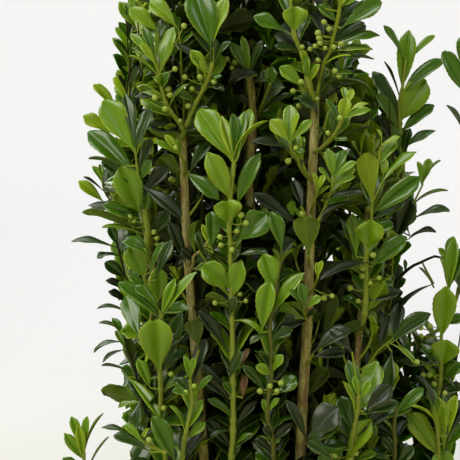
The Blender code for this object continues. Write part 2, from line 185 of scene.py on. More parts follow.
def noisy(tree, scale, detail, **sockets):
    return Wire.node(tree, "ShaderNodeTexNoise", None, {"Scale": scale, "Detail": detail, **sockets})


def painted(geometry, material, selection=True):
    return Wire.node(geometry.tree, "GeometryNodeSetMaterial", None,
                     {"Geometry": geometry, "Selection": selection, "Material": material})


def mixColours(tree, factor, first, second):
    colours = [value if isinstance(value, Wire) else (*value, 1.0) for value in (first, second)]
    values = {0: factor, 6: colours[0], 7: colours[1]}
    return Wire.node(tree, "ShaderNodeMix", {"data_type": "RGBA"}, values, out=2)


def placed(name, data):
    obj = bpy.data.objects.new(name, data)
    bpy.context.scene.collection.objects.link(obj)
    return obj


def evaluated(obj):
    bpy.context.view_layer.update()
    graph = bpy.context.evaluated_depsgraph_get()
    return bpy.data.meshes.new_from_object(obj.evaluated_get(graph))


def spun(profile, steps, weld):
    bm = bmesh.new()
    line = [bm.verts.new((x, 0.0, z)) for x, z in profile]
    edges = [bm.edges.new(pair) for pair in zip(line, line[1:])]
    bmesh.ops.spin(bm, geom=line + edges, axis=up, cent=(0, 0, 0), angle=2 * math.pi,
                   steps=steps, use_merge=True)
    bmesh.ops.remove_doubles(bm, verts=bm.verts, dist=weld)
    bmesh.ops.recalc_face_normals(bm, faces=bm.faces)
    return bm


def meshOf(bm, name):
    mesh = bpy.data.meshes.new(name)
    bm.to_mesh(mesh)
    bm.free()
    return mesh


def triangles(piece):
    return sum(len(face.vertices) - 2 for face in piece.data.polygons)


def grown(name, source, tree, values):
    obj = placed(name, source)
    modifier = obj.modifiers.new("grow", "NODES")
    modifier.node_group = tree
    for item in tree.interface.items_tree:
        if item.in_out == "INPUT" and item.name in values:
            modifier[item.identifier] = values[item.name]
    mesh = evaluated(obj)
    obj.modifiers.remove(modifier)
    obj.data = mesh
    mesh.name = name
    return obj


def pointCloud(name, attributes, edges=()):
    places = attributes.pop("position")
    mesh = bpy.data.meshes.new(name)
    mesh.from_pydata(places, edges, [])
    for label, values in attributes.items():
        vector = isinstance(values[0], Vector)
        layer = mesh.attributes.new(label, "FLOAT_VECTOR" if vector else "FLOAT", "POINT")
        if vector:
            layer.data.foreach_set("vector", [x for value in values for x in value])
        else:
            layer.data.foreach_set("value", values)
    return mesh


# The picture: where the camera stands, and where its pixels lie in the plant

picture = {
    "side": 460,              # pixels
    "pixel": 0.0006,          # metres that a pixel covers at the front stems
    "axisColumn": 265,
    "middleRow": 230,
    "middleHeight": 0.496,
    "frontStems": -0.068,
    "lens": 100.0,            # mm
}
cameraAway = picture["pixel"] * picture["side"] * picture["lens"] / 36.0
cameraPlace = Vector(((picture["middleRow"] - picture["axisColumn"]) * picture["pixel"],
                      picture["frontStems"] - cameraAway, picture["middleHeight"]))


def atPixel(column, row, depth):
    scale = picture["pixel"] * (depth - cameraPlace.y) / cameraAway
    middle = picture["middleRow"]
    return Vector((cameraPlace.x + (column - middle) * scale, depth, cameraPlace.z + (middle - row) * scale))


def toPixel(point):
    scale = picture["pixel"] * (point.y - cameraPlace.y) / cameraAway
    middle = picture["middleRow"]
    return middle + (point.x - cameraPlace.x) / scale, middle - (point.z - cameraPlace.z) / scale


def makeCamera():
    camera = placed("camera", bpy.data.cameras.new("camera"))
    camera.data.lens = picture["lens"]
    camera.location = cameraPlace
    camera.rotation_euler = (math.radians(90), 0.0, 0.0)
    bpy.context.scene.camera = camera


# Stage: a pale floor that curves up all round and glows by its own emission, a painted glow, and soft light
# from above on the left

stage = {
    "flat": 3.4,
    "bend": 1.8,
    "wall": 4.2,
    "turns": 8,
    "steps": 96,
    "colour": (0.55, 0.55, 0.545),
    "glow": (0.49, 0.49, 0.55),
    "warmColour": (0.55, 0.55, 0.26),
    "warm": (-0.4, 1.7),      # along Y, from the warm front, out of view, to the plain back
    "dimGlow": (0.06, 0.06, 0.06),
    "dim": (1.0, 4.8),        # along Y, from the dim front to the bright back
}

lamps = {
    "key": {"place": (-1.6, -1.9, 3.0), "size": 3.0, "energy": 175.0, "colour": (1.0, 0.98, 0.90)},
    "side": {"place": (2.3, -1.2, 2.1), "size": 1.6, "energy": 20.0, "colour": (0.97, 1.0, 0.98)},
    "back": {"place": (-1.4, 2.6, 2.6), "size": 1.8, "energy": 50.0, "colour": (1.0, 1.0, 0.97)},
}

lampAim = 0.45                # metres above the ground

sky = {"colour": (1.0, 1.0, 0.66), "strength": 0.25}


def plainMaterial(name, settings):
    material = bpy.data.materials.new(name)
    material.use_nodes = True
    shader = material.node_tree.nodes["Principled BSDF"]
    for socket, value in settings.items():
        shader.inputs[socket].default_value = (*value, 1.0) if socket.endswith("Color") else value
    return material, shader


def makeStage():
    turns = stage["turns"]
    line = [(0.0, 0.0), (stage["flat"], 0.0)]
    for i in range(1, turns + 1):
        angle = math.radians(90 * i / turns)
        line.append((stage["flat"] + stage["bend"] * math.sin(angle), stage["bend"] * (1 - math.cos(angle))))
    line.append((stage["flat"] + stage["bend"], stage["wall"]))
    mesh = meshOf(spun(line, stage["steps"], 1e-4), "backdrop")
    mesh.shade_smooth()
    backdrop = placed("backdrop", mesh)
    paper, shader = plainMaterial("paper", {"Roughness": 0.9, "Specular IOR Level": 0.1,
                                            "Emission Strength": 1.0})
    tree = paper.node_tree
    depth = Wire.node(tree, "ShaderNodeTexCoord", out=3).axis(1)
    # The paper's emission is a painted glow, dim at the front and bright at the back; its base colour runs
    # from warm in front to plain at the back
    for socket, span, front, back in (("Base Color", "warm", "warmColour", "colour"),
                                      ("Emission Color", "dim", "dimGlow", "glow")):
        share = depth.between(*stage[span])
        tree.links.new(mixColours(tree, share, stage[front], stage[back]).socket, shader.inputs[socket])
    mesh.materials.append(paper)


def makeLight():
    for name, lamp in lamps.items():
        light = placed(name, bpy.data.lights.new(name, "AREA"))
        light.data.size = lamp["size"]
        light.data.energy = lamp["energy"]
        light.data.color = lamp["colour"]
        light.location = lamp["place"]
        aim = up * lampAim - light.location
        light.rotation_euler = aim.to_track_quat("-Z", "Y").to_euler()
        light.visible_camera = False
    world = bpy.data.worlds.new("sky")
    world.use_nodes = True
    background = world.node_tree.nodes["Background"]
    background.inputs["Color"].default_value = (*sky["colour"], 1.0)
    background.inputs["Strength"].default_value = sky["strength"]
    bpy.context.scene.world = world


bpy.context.scene.view_settings.view_transform = "Standard"
makeCamera()
makeStage()
makeLight()
print("stage, light and camera ready")


# Where the stems run: the same rule and sizes as the frame's own stems

trunkShape = {
    "height": 0.064,
    "radius": 0.0172,
    "topRadius": 0.0132,
    "shoulder": 0.0048,
    "flareHeight": 0.021,
    "flareRadius": 0.0265,
    "hollow": 0.0016,
    "lobes": 5,
    "lobeDepth": 0.10,
    "stubDepth": 0.030,
    "steps": 40,
    "voxel": 0.0009,
    "relief": 0.0016,
}

stemRule = {
    "leavingRadius": 0.008,
    "spreadHeight": 0.560,
    "spreadPower": 2.2,
    "fullSpread": 0.0776,
    "closingIn": 0.45,
    "sway": 0.0024,
    "swayLength": 0.336,
    "tipShare": 0.62,
    "slim": 0.22,             # share of their width that the stems lose, from slimFrom upwards
    "slimFrom": 0.30,
    "joiningRise": 0.096,
    "forkGap": 1.35,          # of a forking stem's radius, from its parent's bark to its own middle
    "lowestLeaf": 0.083,
    "reach": 0.050,
    "bulge": 0.004,
    "taperHeight": 0.585,
    "taper": 0.16,
}

stems = {
    "centre": {"bearing": -117, "spread": 0.0176, "tip": 0.724, "top": 0.856, "radius": 0.0054,
               "lowest": 0.150},
    "front": {"bearing": -70, "spread": 0.0720, "tip": 0.577, "top": 0.712, "radius": 0.0053,
              "lean": 0.0040, "leanFrom": 0.36, "leanTo": 0.46},
    "front_left": {"bearing": -125, "spread": 0.0736, "tip": 0.552, "top": 0.684, "radius": 0.0050,
                   "lean": -0.0064, "leanFrom": 0.34, "leanTo": 0.50},
    "right": {"bearing": 11, "spread": 0.0832, "tip": 0.520, "top": 0.648, "radius": 0.0046},
    "back_right": {"bearing": 59, "spread": 0.0768, "tip": 0.660, "top": 0.796, "radius": 0.0048},
    "back": {"bearing": 110, "spread": 0.0720, "tip": 0.632, "top": 0.768, "radius": 0.0046},
    "back_left": {"bearing": 160, "spread": 0.0768, "tip": 0.604, "top": 0.736, "radius": 0.0046},
    "left": {"bearing": -153, "spread": 0.0800, "tip": 0.484, "top": 0.608, "radius": 0.0040,
             "parent": "front_left", "fork": 0.136},
    "front_right": {"bearing": -38, "spread": 0.0784, "tip": 0.440, "top": 0.564, "radius": 0.0040,
                    "parent": "front", "fork": 0.152},
}


def bearingVector(degrees):
    angle = math.radians(degrees)
    return Vector((math.cos(angle), math.sin(angle), 0.0))


def riseShare(z):
    return min(1.0, max(0.0, z - trunkShape["height"]) / (stemRule["spreadHeight"] - trunkShape["height"]))


def spreadPoint(stem, z):
    rise = riseShare(z)
    leaving = stemRule["leavingRadius"]
    reach = leaving + (stem["spread"] - leaving) * (1 - (1 - rise) ** stemRule["spreadPower"])
    if stem["spread"] < 2 * leaving + stemRule["sway"]:
        reach = stem["spread"] * rise
    above = max(0.0, z - stemRule["spreadHeight"]) / stemRule["spreadHeight"]
    reach -= stemRule["closingIn"] * stem["spread"] * above
    outward = bearingVector(stem["bearing"])
    wave = math.sin(2 * math.pi * z / stemRule["swayLength"] + math.radians(3 * stem["bearing"]))
    point = outward * reach + up.cross(outward) * stemRule["sway"] * rise * wave + up * z
    if "lean" in stem:
        share = min(1.0, max(0.0, z - stem["leanFrom"]) / (stem["leanTo"] - stem["leanFrom"]))
        point.x += stem["lean"] * share * share * (3 - 2 * share)
    return point


def stemPoint(stem, z):
    own = spreadPoint(stem, z)
    if "parent" not in stem:
        return own
    share = min(1.0, max(0.0, (z - stem["fork"]) / stemRule["joiningRise"]))
    parent = stems[stem["parent"]]
    leave = spreadPoint(parent, z)
    offset = stemRadius(parent, stem["fork"]) + stemRule["forkGap"] * stem["radius"]
    outward = (own - leave).normalized() * offset
    return (leave + outward).lerp(own, share * share * (3 - 2 * share))


def stemRadius(stem, z):
    start = stem.get("fork", trunkShape["height"])
    share = min(1.0, max(0.0, (z - start) / (stem["tip"] - start)))
    slim = 1 - stemRule["slim"] * min(1.0, z / stemRule["slimFrom"])
    return stem["radius"] * slim * (1 - (1 - stemRule["tipShare"]) * share)


def firstHeight(stem):
    if "parent" in stem:
        return stem["fork"] + stemRule["joiningRise"]
    return stem.get("lowest", stemRule["lowestLeaf"])


def crownRadius(z):
    rise = riseShare(z)
    leaving = stemRule["leavingRadius"]
    spread = leaving + (stemRule["fullSpread"] - leaving) * (1 - (1 - rise) ** stemRule["spreadPower"])
    bulge = stemRule["bulge"] * math.sin(math.pi * min(1.0, z / stemRule["spreadHeight"]))
    return spread + stemRule["reach"] + bulge - stemRule["taper"] * max(0.0, z - stemRule["taperHeight"])


def outerShare(point):
    return math.hypot(point.x, point.y) / crownRadius(point.z)


def stemWay(stem, z):
    return (stemPoint(stem, z + 0.004) - stemPoint(stem, z - 0.004)).normalized()


# Wood: the trunk and its stems, with the bark's relief

bark = {
    "old": (0.270, 0.215, 0.110),
    "young": (0.315, 0.295, 0.075),
    "dark": (0.080, 0.055, 0.018),
    "pores": (0.40, 0.33, 0.13),
    "pale": (0.480, 0.420, 0.220),
    "brown": (0.110, 0.050, 0.022),
    "greenFrom": 0.16,        # the bark turns from brown to green between these heights
    "greenTo": 0.66,
    "patchiness": 1.6,
    "paleFrom": (0.55, 0.66),       # where the noise starts and ends to turn the bark pale, brown and dark
    "brownFrom": (0.46, 0.36),
    "darkFrom": (0.38, 0.62),
    "streaks": (900.0, 5.0),        # scale and detail of the noise
    "patches": (75.0, 3.0),
    "blotches": (260.0, 2.0),
    "streakScale": (1.0, 1.0, 0.16),
    "poreSize": 0.24,
    "roughness": 0.72,
    "ringSpacing": 0.0022,
    "sides": 16,
    "swelling": 0.16,
    "nodeSpacing": 0.0125,
    "lumps": 0.00035,
    "lumpScale": 160.0,
}


def barkMaterial():
    material, shader = plainMaterial("bark", {"Roughness": bark["roughness"], "Specular IOR Level": 0.35})
    tree = material.node_tree
    place = Wire.node(tree, "ShaderNodeTexCoord", out=3)
    long = Wire.node(tree, "ShaderNodeMapping", None, {"Vector": place, "Scale": bark["streakScale"]})
    streaks = noisy(tree, *bark["streaks"], Vector=long, Roughness=0.65)
    patches = noisy(tree, *bark["patches"], Vector=place)
    wide = Wire.node(tree, "ShaderNodeMapping", None, {"Vector": place, "Scale": (1.0, 1.0, 1.7)})
    dots = Wire.node(tree, "ShaderNodeTexVoronoi", None, {"Vector": wide, "Scale": 420.0})
    pores = (dots < bark["poreSize"]) * (patches > 0.46)
    height = place.axis(2)
    green = (height - bark["greenFrom"]) / (bark["greenTo"] - bark["greenFrom"])
    green = (green + (patches - 0.5) * bark["patchiness"]).passed("ShaderNodeClamp")
    colour = mixColours(tree, green, bark["old"], bark["young"])
    blotches = noisy(tree, *bark["blotches"], Vector=long)
    pale = blotches.between(*bark["paleFrom"])
    brown = blotches.between(*bark["brownFrom"])
    colour = mixColours(tree, pale * 0.65, colour, bark["pale"])
    colour = mixColours(tree, brown * 0.70, colour, bark["brown"])
    shade = streaks.between(*bark["darkFrom"])
    colour = mixColours(tree, (1.0 - shade) * 0.75, colour, bark["dark"])
    colour = mixColours(tree, pores * 0.6, colour, bark["pores"])
    tree.links.new(colour.socket, shader.inputs["Base Color"])
    relief = streaks * 0.6 + pores * 0.5 + patches * 0.5
    bump = Wire.node(tree, "ShaderNodeBump", None, {"Strength": 0.55, "Distance": 0.0005, "Height": relief})
    tree.links.new(bump.socket, shader.inputs["Normal"])
    return material


def tubeTree():
    tree, inputs = geometryTree("tube", {"Sides": "Int", "Ring spacing": "Float", "Lumps": "Float",
                                         "Lump scale": "Float", "Material": "Material"})
    line = inputs["Geometry"].passed("GeometryNodeMeshToCurve")
    line = Wire.node(tree, "GeometryNodeResampleCurve", {"mode": "LENGTH"},
                     {"Curve": line, "Length": inputs["Ring spacing"]})
    ring = Wire.node(tree, "GeometryNodeCurvePrimitiveCircle", None,
                     {"Resolution": inputs["Sides"], "Radius": 1.0})
    tube = Wire.node(tree, "GeometryNodeCurveToMesh", None,
                     {"Curve": line, "Profile Curve": ring, "Scale": named(tree, "radius"),
                      "Fill Caps": True})
    normal = Wire.node(tree, "GeometryNodeInputNormal")
    noise = noisy(tree, inputs["Lump scale"], 2.0)
    tube = moved(tube, Offset=normal.scaled((noise - 0.5) * inputs["Lumps"] * 2.0))
    tube = tube.passed("GeometryNodeSetShadeSmooth").passed("GeometryNodeRealizeInstances")
    endTree(tree, painted(tube, inputs["Material"]))
    return tree


def polyline(lines):
    places, radii, edges = [], [], []
    for points, widths in lines:
        first = len(places)
        places += points
        radii += widths
        edges += [(first + i, first + i + 1) for i in range(len(points) - 1)]
    return {"position": places, "radius": radii}, edges


def finished(piece, slotName, *nodes):
    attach(piece, "root")
    if nodes:
        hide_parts(*nodes)


def makeStems(tube, material):
    for name, stem in stems.items():
        low = stem["fork"] + 0.001 if "parent" in stem else trunkShape["height"] - 0.012
        high = stem["tip"] + 0.002
        count = round((high - low) / 0.003)
        heights = [low + (high - low) * i / count for i in range(count + 1)]
        points = [stemPoint(stem, z) for z in heights]
        radii = []
        for z in heights:
            knot = max(0.0, math.cos(2 * math.pi * z / bark["nodeSpacing"])) ** 6
            radii.append(stemRadius(stem, z) * (1 + bark["swelling"] * knot))
        if "parent" in stem:
            root = stemPoint(stems[stem["parent"]], low - 0.004)
            points.insert(0, root)
            radii.insert(0, radii[0])
        cloud, edges = polyline([(points, radii)])
        piece = grown("bark_stem_" + name, pointCloud("stem", cloud, edges), tube, {
            "Sides": bark["sides"], "Ring spacing": bark["ringSpacing"], "Lumps": bark["lumps"],
            "Lump scale": bark["lumpScale"], "Material": material})
        finished(piece, "bark", "stem_" + name)


def makeTrunk(material):
    shape = trunkShape
    profile = [
        (0.0, shape["height"] - 0.002),
        (shape["topRadius"] * 0.8, shape["height"] - 0.002),
        (shape["topRadius"], shape["height"] - shape["shoulder"]),
        (shape["radius"], shape["flareHeight"]),
        ((shape["radius"] + shape["flareRadius"]) / 2 - shape["hollow"], shape["flareHeight"] * 0.4),
        (shape["flareRadius"], 0.0),
        (0.0, 0.0),
    ]
    bm = spun(profile, shape["steps"], 1e-6)
    for vert in bm.verts:
        fade = max(0.0, 1 - vert.co.z / (2 * shape["flareHeight"]))
        stretch = 1 + shape["lobeDepth"] * fade * math.cos(shape["lobes"] * math.atan2(vert.co.y, vert.co.x))
        vert.co.x *= stretch
        vert.co.y *= stretch
    for stem in stems.values():
        if "parent" in stem:
            continue
        heights = [shape["height"] - shape["stubDepth"] + 0.004 * i for i in range(11)]
        sides = bark["sides"]
        rings = []
        for z in heights:
            centre = stemPoint(stem, z)
            radius = stemRadius(stem, z) * 1.05
            ring = [centre + bearingVector(360 / sides * i) * radius for i in range(sides)]
            rings.append([bm.verts.new(place) for place in ring])
        for below, above in zip(rings, rings[1:]):
            for i in range(sides):
                after = (i + 1) % sides
                bm.faces.new((below[i], below[after], above[after], above[i]))
        bm.faces.new(rings[0][::-1])
        bm.faces.new(rings[-1])
    trunk = placed("bark_trunk", meshOf(bm, "bark_trunk"))
    remesh = trunk.modifiers.new("remesh", "REMESH")
    remesh.mode = "VOXEL"
    remesh.voxel_size = shape["voxel"]
    smooth = trunk.modifiers.new("smooth", "SMOOTH")
    smooth.factor = 0.6
    smooth.iterations = 8
    relief = bpy.data.textures.new("relief", "CLOUDS")
    relief.noise_scale = 0.006
    relief.noise_depth = 3
    rough = trunk.modifiers.new("relief", "DISPLACE")
    rough.texture = relief
    rough.strength = shape["relief"]
    rough.mid_level = 0.5
    made = evaluated(trunk)
    trunk.modifiers.clear()
    trunk.data = made
    for vert in made.vertices:
        vert.co.z = max(0.0, vert.co.z)
    made.materials.clear()
    made.materials.append(material)
    made.shade_smooth()
    finished(trunk, "bark", "trunk")


barkFinish = barkMaterial()
tubes = tubeTree()
makeStems(tubes, barkFinish)
makeTrunk(barkFinish)
print("trunk and", len(stems), "stems ready")


# Growth: what is gathered here becomes leaves, shoots and berries further down

leaves = []
shoots = []
berries = []
taken = {}

leafRule = {
    "length": 0.0315,
    "halfWidth": 0.25,        # share of the length
    "spacing": 0.0046,        # between leaves along a shoot
    "apart": 0.0040,          # least distance between the middles of two leaves
    "cell": 0.005,
    "leastCurl": 0.03,
    "widths": (0.88, 1.12),
    "folds": (0.12, 0.50),
    "curls": (0.10, 0.75),
    "waves": (-0.10, 0.10),
    "notches": (0.0, 0.0, 0.02, 0.045),
    "blunts": (0.0, 0.0, 0.15, 0.30),
    "sizes": (0.82, 1.08),
    "tipSizes": (0.34, 0.58),
}

tintRule = {
    # Inside the crown leaves are older, and their dark tints also stand in as painted shade there
    "innerTo": 0.62,          # share of the crown's radius within which leaves are old or deep
    "oldShare": 0.75,
    "spread": 0.16,
    "full": 0.36,             # least youth of a full, a young and a tip leaf
    "young": 0.62,
    "tip": 0.86,
    "tipFrom": 0.9,           # share of the shoot's length
}

openAir = {
    "cell": 6,                # pixels
    "frontMost": -0.062,      # in the picture only chosen shoots stand nearer than this
    "behind": 0.003,
    "rows": (-10, 470),
    "columns": (-5, 465),
    "left": [(0, 118), (40, 114), (80, 113), (100, 104), (120, 100), (200, 104), (240, 112), (300, 116),
             (340, 124), (400, 126), (460, 132)],
    "right": [(0, 378), (25, 372), (62, 372), (74, 380), (82, 400), (140, 406), (175, 413), (215, 410),
              (240, 408), (252, 404), (264, 397), (312, 399), (320, 412), (332, 438), (346, 475), (460, 475)],
    "dark": [(283, 176, 22, 26), (331, 240, 12, 16)],       # column, row and reach of the deepest shade
    "darkBefore": -0.03,
    "gaps": [(155, 209, 6, 8), (156, 144, 8, 7), (343, 141, 6, 6), (352, 134, 4, 5), (264, 60, 4, 4),
             (271, 52, 5, 4), (341, 249, 4, 7), (343, 207, 5, 5), (359, 199, 4, 4), (389, 234, 4, 4),
             (178, 437, 3, 4), (406, 437, 6, 5), (387, 430, 3, 5), (329, 441, 3, 5), (379, 361, 3, 3)],
}
shown = {}


def edgeAt(edge, row):
    for (low, first), (high, last) in zip(edge, edge[1:]):
        if low <= row <= high:
            return first + (last - first) * (row - low) / (high - low)
    return None


def cellOf(point):
    return tuple(math.floor(place / openAir["cell"]) for place in toPixel(point))


def show(point):
    key = cellOf(point)
    shown[key] = max(shown.get(key, -1.0), point.y)


def within(areas, column, row):
    return any(math.hypot((column - x) / wide, (row - y) / high) < 1 for x, y, wide, high in areas)


def inPicture(column, row):
    (top, bottom), (left, right) = openAir["rows"], openAir["columns"]
    return top < row < bottom and left < column < right


def inPlant(point, margin=0.0):
    column, row = toPixel(point)
    if not inPicture(column, row):
        return True
    left, right = (edgeAt(openAir[side], min(460, max(0, row))) for side in ("left", "right"))
    if not left - margin < column < right + margin or within(openAir["gaps"], column, row):
        return False
    return point.y > openAir["darkBefore"] or not within(openAir["dark"], column, row)


def unhiding(point):
    key = cellOf(point)
    return key not in shown or point.y > shown[key] + openAir["behind"]


def clear(point):
    if not inPicture(*toPixel(point)):
        return True
    return point.y > openAir["frontMost"] and inPlant(point) and unhiding(point)


def inCrown(point, stem):
    inside = point.z < stem["top"] and math.hypot(point.x, point.y) < crownRadius(point.z)
    return inside and clear(point)


def crowded(point):
    cell = leafRule["cell"]
    key = tuple(math.floor(x / cell) for x in point)
    for x in (-1, 0, 1):
        for y in (-1, 0, 1):
            for z in (-1, 0, 1):
                for other in taken.get((key[0] + x, key[1] + y, key[2] + z), ()):
                    if (other - point).length < leafRule["apart"]:
                        return True
    taken.setdefault(key, []).append(point)
    return False


def tilted(direction, bearing, angle):
    x = direction.orthogonal().normalized()
    across = x * math.cos(bearing) + direction.cross(x) * math.sin(bearing)
    return direction * math.cos(angle) + across * math.sin(angle)


def addLeaf(root, way, face, length, tint, rng, **changes):
    way = way.normalized()
    face = (face - way * face.dot(way)).normalized()
    leaf = {
        "root": root, "way": way, "face": face, "length": length, "tint": tint,
        "halfWidth": length * leafRule["halfWidth"] * rng.uniform(*leafRule["widths"]),
        "fold": rng.uniform(*leafRule["folds"]),
        "curl": rng.uniform(*leafRule["curls"]),
        "wave": rng.uniform(*leafRule["waves"]),
        "notch": rng.choice(leafRule["notches"]),
        "blunt": rng.choice(leafRule["blunts"]),
    }
    leaf.update(changes)
    if abs(leaf["curl"]) < leafRule["leastCurl"]:
        leaf["curl"] = leafRule["leastCurl"]
    leaves.append(leaf)


def curvedLine(start, first, last, length, count=6):
    points = [start]
    for i in range(count):
        share = (i + 0.5) / count
        points.append(points[-1] + first.lerp(last, share).normalized() * length / count)
    return points


def pointAlong(line, share):
    lengths = [(b - a).length for a, b in zip(line, line[1:])]
    left = share * sum(lengths)
    for a, b, length in zip(line, line[1:], lengths):
        if left <= length or b is line[-1]:
            break
        left -= length
    return a + (b - a) * min(1.0, left / length), (b - a).normalized()


def lineLength(line):
    return sum((b - a).length for a, b in zip(line, line[1:]))


def tintFor(share, outer, vigour, rng):
    # Leaves inside the crown take the dark old or deep tints: partly their age, partly painted shade
    if outer < tintRule["innerTo"]:
        return "old" if rng.random() < tintRule["oldShare"] else "deep"
    spread = rng.uniform(-tintRule["spread"], tintRule["spread"])
    youth = share * 0.7 + vigour * 0.5 + (outer - 0.8) * 0.9 + spread
    if youth > tintRule["tip"]:
        return "tip" if share > tintRule["tipFrom"] else "young"
    if youth > tintRule["young"]:
        return "young"
    return "full" if youth > tintRule["full"] else "deep"


def clothe(line, stem, rng, first=0.22, size=1.0, vigour=0.5):
    length = lineLength(line)
    count = max(3, round(length * (1 - first) / leafRule["spacing"]))
    turn = rng.uniform(0, 2 * math.pi)
    for i in range(count):
        share = first + (1 - first) * i / count
        root, axis = pointAlong(line, share)
        turn += goldenAngle + rng.uniform(-0.25, 0.25)
        angle = math.radians(58 - 32 * share + rng.uniform(-10, 10))
        way = (tilted(axis, turn, angle) + up * 0.10).normalized()
        full = leafRule["length"] * size * rng.uniform(*leafRule["sizes"])
        full *= 0.80 + 0.20 * math.sin(math.pi * min(1.0, share * 1.1)) - 0.34 * max(0.0, share - 0.72) / 0.28
        tip = root + way * full
        middle = root + way * full * 0.6
        if not inCrown(tip, stem) or not clear(middle) or crowded(middle):
            continue
        outer = outerShare(tip)
        addLeaf(root, way, axis, full, tintFor(share, outer, vigour, rng), rng,
                curl=rng.uniform(0.05, 0.7) + 0.5 * (1 - share) * rng.random())
    tip, axis = pointAlong(line, 1.0)
    for i in range(4):
        turn += goldenAngle
        way = tilted(axis, turn, math.radians(rng.uniform(14, 30)))
        full = leafRule["length"] * size * rng.uniform(*leafRule["tipSizes"])
        if inCrown(tip + way * full, stem):
            outer = outerShare(tip)
            tint = "tip" if outer > 0.72 else "young"
            addLeaf(tip - axis * 0.001 * i, way, axis, full, tint, rng, curl=rng.uniform(-0.25, 0.3),
                    fold=rng.uniform(0.35, 0.7))


berryRule = {
    "share": 0.45,            # of the side shoots
    "bunches": (1, 2, 2, 3),
    "inBunch": (1, 1, 2, 3),
    "leaving": (45, 80),
    "parting": (8, 38),
    "radius": 0.0017,
    "stalk": (0.0035, 0.0062),
    "stalkRadius": 0.00035,
}


def addBerries(line, low, high, count, rng):
    for _ in range(count):
        root, axis = pointAlong(line, rng.uniform(low, high))
        if not clear(root):
            continue
        way = tilted(axis, rng.uniform(0, 2 * math.pi), math.radians(rng.uniform(*berryRule["leaving"])))
        way = (way + up * 0.1).normalized()
        for _ in range(rng.choice(berryRule["inBunch"])):
            turn = rng.uniform(0, 2 * math.pi)
            away = tilted(way, turn, math.radians(rng.uniform(*berryRule["parting"])))
            stalk = rng.uniform(*berryRule["stalk"])
            end = root + way * stalk * 0.4 + away * stalk * 0.6
            radius = berryRule["radius"] * rng.uniform(0.75, 1.15)
            berries.append({"position": end, "way": away, "radius": radius})
            shoots.append(([root, root + way * stalk * 0.4, end], [berryRule["stalkRadius"]] * 3, "green"))


shootRule = {
    "spacing": 0.0125,
    "outerLength": (0.026, 0.050),
    "innerLength": (0.012, 0.026),
    "leaving": (38, 62),
    "ending": (6, 26),
    "radius": 0.00105,
    "tipRadius": 0.0006,
    "greenTo": 0.036,         # the length from which a shoot is brown
    "tries": 4,
    "shrink": 0.78,
    "stemLeafSpacing": 0.0085,
    "stemLeafAngles": (48, 84),
    "stemLeafSizes": (0.80, 1.12),
    "stemLeafCurls": (0.5, 1.35),
}


def taperedRadii(line, start, end):
    return [start + (end - start) * i / (len(line) - 1) for i in range(len(line))]


def growSideShoot(stem, root, axis, side, radius, rng, lengths=None):
    outward = Vector((root.x, root.y, 0.0)).normalized()
    facing = side.dot(outward)
    share = 0.5 + 0.5 * facing
    short = rng.uniform(*shootRule["innerLength"])
    long = rng.uniform(*(lengths or shootRule["outerLength"]))
    length = short + (long - short) * share
    leaving = math.radians(rng.uniform(*shootRule["leaving"]))
    ending = math.radians(rng.uniform(*shootRule["ending"]))
    first = side * math.sin(leaving) + axis * math.cos(leaving)
    last = (side * math.sin(ending) + up * math.cos(ending)).normalized()
    for _ in range(shootRule["tries"]):
        line = curvedLine(root + side * radius * 0.4, first, last, length)
        if inCrown(line[-1] + last * 0.012, stem):
            break
        length *= shootRule["shrink"]
    else:
        return
    shoots.append((line, taperedRadii(line, shootRule["radius"], shootRule["tipRadius"]),
                   "green" if length < shootRule["greenTo"] else "brown"))
    clothe(line, stem, rng, first=0.28, vigour=rng.uniform(0.2, 0.8))
    if facing > -0.2 and rng.random() < berryRule["share"]:
        addBerries(line, 0.1, 0.5, rng.choice(berryRule["bunches"]), rng)


def growStem(name, stem):
    rng = random.Random(f"{plantSeed}_{name}")
    turn = rng.uniform(0, 2 * math.pi)
    z = firstHeight(stem) + 0.004
    while z < stem["tip"] - 0.002:
        axis = stemWay(stem, z)
        turn += goldenAngle + rng.uniform(-0.2, 0.2)
        side = tilted(axis, turn, math.pi / 2)
        growSideShoot(stem, stemPoint(stem, z), axis, side, stemRadius(stem, z), rng)
        z += shootRule["spacing"] * rng.uniform(0.75, 1.25)
    z = firstHeight(stem)
    while z < stem["tip"]:
        axis = stemWay(stem, z)
        turn += goldenAngle
        side = tilted(axis, turn, math.pi / 2)
        root = stemPoint(stem, z) + side * stemRadius(stem, z) * 0.8
        angle = math.radians(rng.uniform(*shootRule["stemLeafAngles"]))
        way = (side * math.sin(angle) + axis * math.cos(angle)).normalized()
        length = leafRule["length"] * rng.uniform(*shootRule["stemLeafSizes"])
        tip = root + way * length
        middle = root + way * length * 0.6
        if inCrown(tip, stem) and clear(middle) and not crowded(middle):
            outer = outerShare(tip)
            tint = "deep" if outer > 0.7 and rng.random() < 0.6 else "old"
            addLeaf(root, way, axis, length, tint, rng, curl=rng.uniform(*shootRule["stemLeafCurls"]))
        z += shootRule["stemLeafSpacing"] * rng.uniform(0.8, 1.2)


leaderRule = {
    "lean": 0.05,
    "below": 0.62,            # between its end and the stem's top, in leaf lengths
    "goesOnRadius": 0.0009,
    "sides": (0.03, 0.90),    # share of its length that carries side shoots
    "sideLengths": (0.030, 0.052),
    "shorter": 0.45,
}


